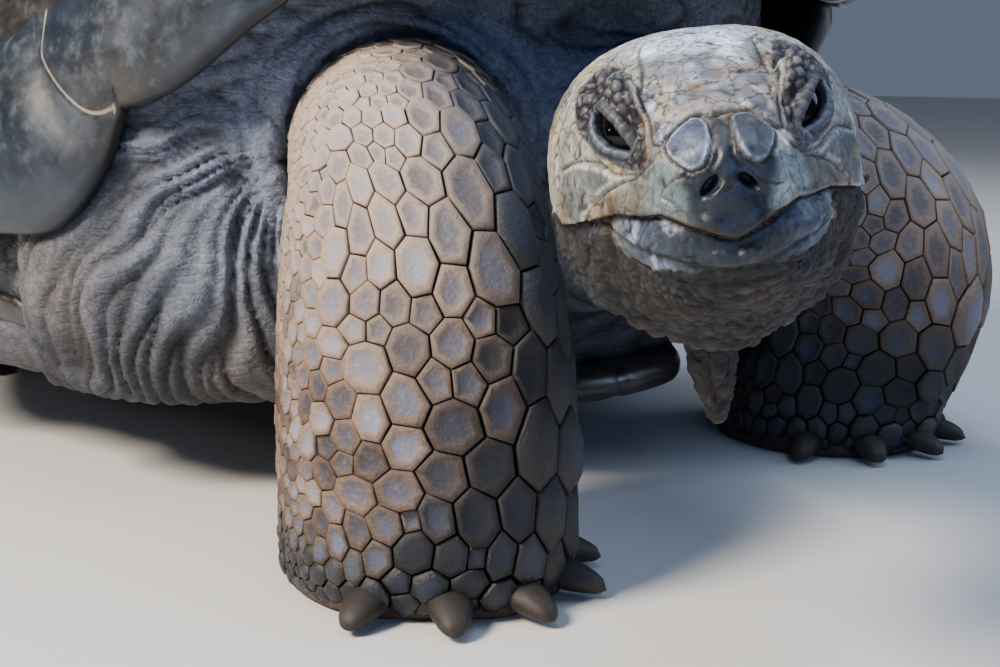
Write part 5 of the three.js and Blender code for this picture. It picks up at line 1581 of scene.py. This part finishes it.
def leg_scales(name, seed, skin_name):
    limb = LIMBS[name]
    turns, widths = SIZE_BY_TURN[name if name in SIZE_BY_TURN else "hindleg"]

    runs = np.linspace(-30, SCALES_END, LEG_SHEET)
    sheet_ups = np.concatenate([[0], np.cumsum(np.diff(runs) / np.interp(runs[1:], *TALL))])

    def turn_and_run(spots):
        turn = (np.degrees(spots[:, 0] / GIRTH * 2 * math.pi) + 180) % 360 - 180
        return turn, np.interp(spots[:, 1], sheet_ups, runs)

    def spacing(spots):
        turn, run = turn_and_run(spots)
        size = np.interp(turn, turns, widths) * np.interp(run, *SIZE_BY_HEIGHT)
        buried = body_without_legs(limb.surface(np.radians(turn), run)) < -16
        return np.where(buried, 0, np.maximum(size, 7.0))

    spots, sizes = strewn(GIRTH, sheet_ups[-1], spacing, seed)
    spots, sizes = spots[sizes > 0], sizes[sizes > 0]
    triangles = net(spots, sizes, GIRTH)
    turn, run = turn_and_run(spots)
    laid = []
    for p, below in zip(limb.surface(np.radians(turn), np.maximum(run, 0) + 2), np.minimum(run, 0)):
        spot, normal, _, away = surfaces[skin_name].find_nearest(p.tolist())
        p = np.array(spot) + np.array(normal) * 1.2 if away < 7 else p
        laid.append(p + (limb.core[0] - p) * [1, 1, 0] * -below / 110 if below else p)
    laid = np.array(laid)
    laid[:, 2] = np.maximum(laid[:, 2], 1.0)
    domed = smoothstep(sizes, 27, 36) * fade(run, 200, 290)
    domed = np.maximum(domed, fade(run, 20, 60))
    # Painted shade: the right foreleg's front, towards the head, and the lower part of the other legs; the
    # lowest scales are dark as wet.
    in_shade = np.maximum(smoothstep(turn, 55, 100), smoothstep(turn, 20, 75) * fade(run, 60, 220))
    if name != "foreleg_right":
        in_shade = fade(run, 60, 200)
    draw = np.random.default_rng(seed + 100)
    marks = {
        "dome": np.clip(domed + draw.normal(0, 0.15, len(spots)), 0, 1),
        "wet": np.clip(fade(run, 10, 60) + 0.6 * domed * smoothstep(turn, 50, 80), 0, 1),
        "dark": np.clip(in_shade * fade(run, 280, 400) + 1 - smoothstep(run, 10, 90), 0, 1),
    }
    sheet = np.array(triangles)
    a, b, c = (laid[sheet[:, k]] for k in range(3))
    middle = (a + b + c) / 3
    core = limb.core[np.argmin(np.linalg.norm(limb.core[None] - middle[:, None], axis=2), axis=1)]
    outwards = (np.cross(b - a, c - a) * (middle - core)).sum(1) > 0
    sheet = np.where(outwards[:, None], sheet, sheet[:, ::-1])
    piece = new_piece(f"{name}_scales", laid, sheet, leg_horn, marks)
    print(name, "scales", len(spots))
    values = {"Groove": 0.5 * MM, "Height": 0.15, "Dish": 0.12, "Dome": 0.1, "Seed": seed, "Finish": leg_horn}
    piece = through_tree(piece, raised_scales, values)
    places = np.zeros(len(piece.data.vertices) * 3)
    piece.data.vertices.foreach_get("co", places)
    places[2::3] = np.maximum(places[2::3], 0.5 * MM)  # the floor presses the lowest scales flat
    piece.data.vertices.foreach_set("co", places)
    return piece


for seed, name in enumerate(LEGS, 3):
    dressed(leg_scales(name, seed, SIDE_SKINS.get(name, "skin_rear")), "leg_scales", name)

# %% [markdown]
# ## The carapace
# The upper shell is bone under plates of horn, the scutes: five down the middle, four on each side, and a
# ring of marginals whose edges hang over the arms in thick lobes. Each scute is a low pillow with growth
# rings round it, polished where the animal rubs against things. The dome follows a rule, so it is a grid
# over turn and climb; the seams are where two growth centres are equally far away.

# %% The finish of the shell
shell_horn, tree, shader = new_material(
    "polished_scute_keratin", IOR=1.5, Coat_Weight=0.22, Coat_Roughness=0.28
)
place = node(tree, "ShaderNodeTexCoord").outputs["Object"]
inward, to_seam, lobe_mark, under = (
    node(tree, (MARK, {"attribute_name": mark})).outputs["Fac"]
    for mark in ("inward", "to_seam", "marginal", "under")
)
cloud = node(tree, NOISE, place, per_mm(110), 5.0, 0.6)
scuff = node(tree, NOISE, place, per_mm(16), 7.0, 0.68)
olive = node(tree, NOISE, place, per_mm(75), 3.0, 0.5)
wobble = node(tree, NOISE, place, per_mm(30), 2.0)
RING_SPACING = 6.5  # mm
phase = node(tree, PLUS, node(tree, TIMES, inward, 2 * math.pi / RING_SPACING), node(tree, TIMES, wobble, 6.0))
growth = node(tree, RAMP, node(tree, ("ShaderNodeMath", {"operation": "SINE"}), phase), -1.0, 1.0)
beside_seam = node(tree, ("ShaderNodeMath", {"operation": "ABSOLUTE"}), to_seam)
seam_mark = node(tree, TIMES, node(tree, RAMP, beside_seam, 0.2, 1.1, 0.85, 0.0), lobe_mark)
seam_mark = node(tree, TIMES, seam_mark, node(tree, RAMP, under, 0.0, 0.15, 1.0, 0.0))
costal = node(tree, BLEND, node(tree, RAMP, cloud, 0.35, 0.65), rgba("#1b1817"), rgba("#362d28"))
marginal = node(tree, BLEND, node(tree, RAMP, cloud, 0.36, 0.6), rgba("#0a1219"), rgba("#1f2b39"))
marginal = node(tree, BLEND, node(tree, RAMP, olive, 0.55, 0.75, 0.0, 0.4), marginal, rgba("#3d362b"))
colour = node(tree, BLEND, lobe_mark, costal, marginal)
RAMPS = {
    "growth": (growth, 0.0, 1.0, 0.6, 0.0), "off_lobe": (lobe_mark, 0.0, 1.0, 1.0, 0.12),
    "scuff": (scuff, 0.5, 0.66, 0.0, 0.36), "olive": (olive, 0.35, 0.6), "dark": (scuff, 0.3, 0.45, 0.3, 0.0),
    "worn_seam": (scuff, 0.3, 0.6, 0.6, 1.0), "under": (under, 0.1, 0.8, 0.0, 0.8),
}
shares = {name: node(tree, RAMP, *values) for name, values in RAMPS.items()}
for share, paint in (
    (node(tree, TIMES, shares["growth"], shares["off_lobe"]), "#120f0e"),
    (node(tree, TIMES, shares["scuff"], shares["olive"]), "#566372"),
    (shares["dark"], "#161718"),
    (node(tree, TIMES, seam_mark, shares["worn_seam"]), "#a3927a"),
    # Painted shade: the underside of the rim's lip and the inner wall are painted near black.
    (node(tree, TIMES, shares["under"], lobe_mark), "#0a0c0e"),
):
    colour = node(tree, BLEND, share, colour, rgba(paint))
gloss = node(tree, RAMP, scuff, 0.35, 0.65, 0.28, 0.52)
ringed = node(tree, TIMES, growth, node(tree, RAMP, lobe_mark, 0.0, 1.0, 1.0, 0.06))
bump = {}
for strength, mm, height in ((0.5, 0.8, ringed), (0.3, 0.6, scuff)):
    bump = {"Normal": node(tree, "ShaderNodeBump", Strength=strength, Distance=mm * MM, Height=height, **bump)}
node(tree, shader, Base_Color=colour, Roughness=gloss, **bump)
print("shell nodes", len(tree.nodes))

# %% The dome's form
MARGINAL_TOP = 0.2
LOBE_TOP = 0.135
SEAM_SLANT = 7.5  # degrees that the seams between marginals lean back by, once up the lobe
MARGINAL_SEAMS = np.array([0, 13, 27, 42, 57.5, 73, 88, 103, 118, 133, 149, 167, 193], float)
GROWTH_CENTRES = np.array(
    [(0, -425), (0, -215), (0, 5), (0, 225), (0, 415)]
    + [(side * x, y) for x, y in ((225, -345), (268, -115), (272, 120), (225, 325)) for side in (-1, 1)],
    float,
)


def lobe(degrees):
    """How far a marginal scute's edge hangs down."""
    seam = np.clip(np.searchsorted(MARGINAL_SEAMS, degrees, side="right"), 1, len(MARGINAL_SEAMS) - 1)
    a, b = MARGINAL_SEAMS[seam - 1], MARGINAL_SEAMS[seam]
    share = np.clip((degrees - a) / (b - a), 0, 1)
    hang = RIM["hang"] + RIM["shoulder"] * bell(degrees, 61, 12)
    return hang * np.sin(math.pi * share**0.7)


def shell_base(turn, climb):
    arc = np.clip(climb, 0, 1) * math.pi / 2
    out = np.maximum(np.cos(arc), 0) ** SHELL["plan"]
    up = np.sin(arc) ** SHELL["rise"]
    degrees = np.abs(np.degrees(np.arctan2(np.sin(turn), np.cos(turn))))
    rim = rim_height(degrees)
    edge = fade(climb, 0, LOBE_TOP)
    curl = 1 + RIM["flare"] * np.abs(np.cos(turn)) / SHELL["half_length"] * edge
    x = SHELL["half_width"] * np.sin(turn) * out * curl
    y = mix(SHELL["apex_y"], -SHELL["half_length"] * np.cos(turn), out) * curl
    return np.stack([x, y, mix(rim, SHELL["apex_z"], up) - lobe(degrees) * edge], 1)


def shell_frame(turn, climb):
    """The dome's outward normal and the way down along it."""
    inside = np.clip(climb, 0.02, 0.97)
    along = shell_base(turn + 0.02, inside) - shell_base(turn - 0.02, inside)
    rise = shell_base(turn, inside + 0.01) - shell_base(turn, inside - 0.01)
    normal = np.cross(along, rise)
    lengths = np.linalg.norm(normal, axis=1), np.linalg.norm(rise, axis=1)
    return normal / lengths[0][:, None], -rise / lengths[1][:, None]


def leaning(seam_turn, climb):
    """Where a line up a marginal scute stands at a climb: the seams between marginals lean back."""
    degrees = np.abs(np.degrees(seam_turn))
    lean = smoothstep(climb, 0.0, 0.15) * smoothstep(degrees, 8, 40) * fade(degrees, 110, 170)
    return seam_turn + np.radians(SEAM_SLANT) * lean * np.sign(seam_turn)


def scutes(seam_turn, climb):
    """For points on the dome: mm to a seam, the same signed, whether on a marginal, and the lift in mm."""
    degrees = np.abs(np.degrees(seam_turn))
    turn = leaning(seam_turn, climb)
    plan = np.stack([SHELL["half_width"] * np.sin(turn), -SHELL["half_length"] * np.cos(turn)], 1)
    radius = np.linalg.norm(plan, axis=1)
    seams = MARGINAL_SEAMS[:-1]
    number = np.searchsorted(seams + 1e-6, degrees)
    seams = np.concatenate([seams, -seams[1:2]])
    degree = np.radians(1) * radius * (1 - np.clip(climb, 0, 1))
    apart = degrees[:, None] - seams[None]
    nearest = np.min(np.abs(apart), axis=1) * degree
    to_rear = np.min(np.where(apart < -1e-6, -apart, 99), axis=1) * degree
    to_front = np.min(np.where(apart >= -1e-6, apart, 99), axis=1) * degree
    to_ring = (climb - MARGINAL_TOP) * radius
    on_marginal = climb < MARGINAL_TOP
    spot = plan * (1 - climb)[:, None]
    spot = spot + 9 * several(np.c_[spot, 0 * climb], 70, (201, 202))
    away = np.linalg.norm(spot[:, None] - GROWTH_CENTRES[None], axis=2)
    order = np.argsort(away, axis=1)[:, :2]
    near = np.take_along_axis(away, order, axis=1)
    spread = np.linalg.norm(GROWTH_CENTRES[order[:, 0]] - GROWTH_CENTRES[order[:, 1]], axis=1)
    between = (near[:, 1] ** 2 - near[:, 0] ** 2) / (2 * spread)
    inner = np.where(on_marginal, np.minimum(nearest, -to_ring * 1.3), np.minimum(between, to_ring))
    # A marginal is a cushion: steep at its rear seam, and rising slowly from its front one.
    steep = 12.0 * (1 - np.exp(-to_rear / 9)) * smoothstep(to_front, -4, 34)
    cushion = steep * (1 - np.exp(to_ring / 18)) - 3.0
    pillow = 5.5 * (1 - np.exp(-inner / 11)) + 3.0 * smoothstep(inner, 30, 110) - 3.0
    # The signed distance changes sign at each seam, so that the seam can be drawn sharply.
    signed = nearest * np.where(number % 2, 1, -1)
    return np.maximum(inner, 0), signed, on_marginal, np.where(on_marginal, cushion, pillow)


def rounding(climb):
    """The marginals' faces turn in towards the rim."""
    return -9.0 * max(0.0, (0.11 - climb) / 0.09) ** 2


def worn(base):
    return 1.2 * noise(base, 60, 211) + 0.5 * noise(base, 22, 212)


# %% Carapace
LIP_AT = 0.02  # climb at which the rolled lip begins
WALL_AT_RIM, WALL_AT_TOP = 26.0, 14.0
OFF_SEAM = 60.0  # mm from a seam, for what has no rings or seams of its own
NEAR_CAMERA = (-90, -25)  # degrees between which the grid is finer
all_seams = np.concatenate([-MARGINAL_SEAMS[-2:0:-1], MARGINAL_SEAMS[:-1], [360 - MARGINAL_SEAMS[-2]]])
SHELL_TURNS = np.concatenate([
    np.linspace(a, b, 40 if NEAR_CAMERA[0] < (a + b) / 2 < NEAR_CAMERA[1] else 22, endpoint=False)
    for a, b in zip(all_seams, all_seams[1:])
])
SHELL_TURNS = np.radians((SHELL_TURNS + 180) % 360 - 180)
SHELL_COLUMNS = len(SHELL_TURNS)
print("columns of the shell", SHELL_COLUMNS, "growth centres", len(GROWTH_CENTRES))


def carapace():
    outer = np.concatenate([np.linspace(LIP_AT, MARGINAL_TOP, 36), np.linspace(MARGINAL_TOP, 0.985, 88)[1:]])
    lip = np.linspace(0, math.pi, 11)[1:-1]
    inner = np.linspace(LIP_AT, 0.97, 14)
    rows, marks = [], {"inward": [], "to_seam": [], "marginal": [], "under": []}
    flat = np.ones(SHELL_COLUMNS)

    def add(row, *values):
        rows.append(row)
        for mark, value in zip(marks.values(), values):
            mark.append(value * flat)

    def at(climb):
        c = climb * flat
        turn = leaning(SHELL_TURNS, c)
        return shell_base(turn, c), *shell_frame(turn, c), scutes(SHELL_TURNS, c)

    for climb in outer[::-1]:
        base, normal, _, (inward, to_seam, on_marginal, pillow) = at(climb)
        rings = 0.25 * np.sin(inward * 2 * math.pi / 13) * (1 - on_marginal)
        lift = pillow + worn(base) + rings + rounding(climb)
        add(base + normal * lift[:, None], inward, to_seam, on_marginal, 0.0)
    base, normal, down, (inward, to_seam, on_marginal, pillow) = at(LIP_AT)
    top = pillow + worn(base) + rounding(LIP_AT)
    for angle in lip:
        share = (1 - math.cos(angle)) / 2
        lift = mix(top, -WALL_AT_RIM, share)
        reach = 15 * math.sin(angle) * (1 - 0.25 * bell(inward, 0, 5))
        row = base + normal * lift[:, None] + down * reach[:, None]
        add(row, inward + 10 * share, to_seam + 12 * share, on_marginal, share)
    for climb in inner:
        base, normal, _, _ = at(climb)
        wall = mix(WALL_AT_RIM, WALL_AT_TOP, smoothstep(climb, 0, 0.3))
        add(base - normal * wall, OFF_SEAM, OFF_SEAM, 1.0, 1.0)
    points = np.vstack([*rows, rows[0].mean(0), rows[-1].mean(0)])
    ends = {"inward": OFF_SEAM, "to_seam": OFF_SEAM, "marginal": 0.0, "under": 0.0}
    marks = {name: np.concatenate([*values, [ends[name]] * 2]) for name, values in marks.items()}
    return points, tube_faces(len(rows), SHELL_COLUMNS), marks


points, faces, marks = carapace()
dressed(new_piece("carapace_shell", points, faces, shell_horn, marks), "shell_horn", "carapace")

# %% Plastron
PLASTRON = {"bottom": 68.0, "thick": 24.0, "rise": 112.0, "rise_from": 270.0}
BELLY_BOX = np.array([[-440, -500, 60], [440, 500, 260]])
BELLY_STEP = 6.0
HALF_WIDTHS = [(-478, 50), (-440, 118), (-330, 196), (-210, 238), (-210, 376), (0, 425), (210, 392),
               (210, 240), (330, 176), (430, 128), (480, 62)]  # at each place along the belly
BELLY_OUTLINE = [(w, y) for y, w in HALF_WIDTHS] + [(-w, y) for y, w in HALF_WIDTHS[::-1]]
BELLY_SEAMS = np.array([-330, -210, 0, 210, 330])


def belly_level(points):
    x, y, _ = points.T
    rim_x = SHELL["half_width"] * np.sqrt(np.maximum(0.02, 1 - (y / SHELL["half_length"]) ** 2))
    start = PLASTRON["rise_from"]
    out = np.maximum(np.abs(x) - start, 0) / np.maximum(40, rim_x - start)
    return PLASTRON["bottom"] + PLASTRON["rise"] * out**1.6


def belly_field(points):
    edge = away_from(points[:, :2], BELLY_OUTLINE, True) + 5
    slab = np.abs(points[:, 2] - belly_level(points) - PLASTRON["thick"] / 2) - PLASTRON["thick"] / 2
    return soft_max(edge, slab, 14)


lowest, highest = BELLY_BOX
points, quads = surface_nets(sampled(belly_field, lowest, highest, BELLY_STEP), lowest, BELLY_STEP)
middle_seam = np.abs(points[:, 0] + 5 * noise(points, 80, 231))
cross_seams = np.abs(points[:, 1:2] + 7 * noise(points, 90, 232)[:, None] - BELLY_SEAMS).min(1)
relief = -2.5 * bell(np.minimum(middle_seam, cross_seams), 0, 5) + 0.8 * noise(points, 70, 233)
points = points + normals_of(points, quads) * relief[:, None]
away = np.full(len(points), OFF_SEAM)
marks = {"inward": away, "to_seam": away, "marginal": np.zeros(len(points))}
dressed(new_piece("plastron_shell", points, quads, shell_horn, marks), "belly_horn", "plastron")

# %% [markdown]
# ## Claws
# Each toe ends in a thick blunt nail of dark horn, worn pale and ragged at the tip where it meets the
# ground. It is an oval that narrows and bends down along a short curve.

# %% Claws
claw_horn, tree, shader = new_material("worn_claw_keratin", IOR=1.55, Specular_IOR_Level=0.3)
place = node(tree, "ShaderNodeTexCoord").outputs["Object"]
tip = node(tree, (MARK, {"attribute_name": "worn"})).outputs["Fac"]
scratches = node(tree, NOISE, place, per_mm(3), 5.0, 0.7)
nail = node(tree, BLEND, scratches, rgba("#0e0d0d"), rgba("#1f1c1a"))
nail = node(tree, BLEND, node(tree, TIMES, tip, scratches), nail, rgba("#40382f"))
polish = node(tree, RAMP, scratches, 0.3, 0.7, 0.45, 0.7)
bump = node(tree, "ShaderNodeBump", Strength=0.5, Distance=0.7 * MM, Height=scratches)
node(tree, shader, Base_Color=nail, Roughness=polish, Normal=bump)
CLAW = {"length": 50.0, "wide": 14.0, "thick": 12.0, "root_height": 18.0, "tip_height": 8.0}
CLAW_ROWS, CLAW_COLUMNS = 14, 22
TOES = {"foreleg": (-62, -31, 0, 31, 62), "hindleg": (-48, -16, 16, 48)}  # degrees from straight ahead
FEET = {"foreleg_right": FORELEG_RIGHT, "foreleg_left": FORELEG_LEFT, "hindleg_right": HINDLEG_RIGHT,
        "hindleg_left": HINDLEG_LEFT}


def claw(foot, heading, seed):
    """A nail out of the foot's edge, at a heading in degrees from straight ahead."""
    x, y, _, side, front = foot[1]
    share = np.linspace(0, 1, CLAW_ROWS + 1)[:-1]
    around = np.linspace(0, 2 * math.pi, CLAW_COLUMNS, endpoint=False)
    rows = []
    for s in share:
        full = math.sqrt(1 - s**3.6)
        wide = np.cos(around) * CLAW["wide"] * full * (1 + 0.08 * math.sin(5 * s))
        middle = mix(CLAW["root_height"], CLAW["tip_height"], s**1.5)
        height = np.sin(around) * CLAW["thick"] * full * mix(1, 0.8, s) + middle
        ahead = np.full_like(around, (0.42 - s) * CLAW["length"])
        rows.append(np.stack([wide, ahead, np.maximum(height, 1.2)], 1))
    points = np.concatenate(rows)
    points = points + 0.5 * several(points + 40 * seed, 9, (221, 222, 223))
    tip_point = np.array([0, -0.58 * CLAW["length"], CLAW["tip_height"] * 0.8])
    points = np.vstack([points, points[:CLAW_COLUMNS].mean(0), tip_point])
    heading = math.radians(heading)
    c, s = math.cos(heading), math.sin(heading)
    points = points @ np.array([[c, s, 0], [-s, c, 0], [0, 0, 1]]) + [x + s * side, y - c * front, 0]
    faces = [face[::-1] for face in tube_faces(CLAW_ROWS, CLAW_COLUMNS)]
    return points, faces, {"worn": np.concatenate([np.repeat(share, CLAW_COLUMNS), [0, 1]])}


for leg, foot in FEET.items():
    for toe, heading in enumerate(TOES[leg.split("_")[0]], 1):
        points, faces, marks = claw(foot, heading, toe)
        dressed(new_piece(f"{leg}_nail_{toe}", points, faces, claw_horn, marks), "claw", f"{leg}_claw_{toe}")
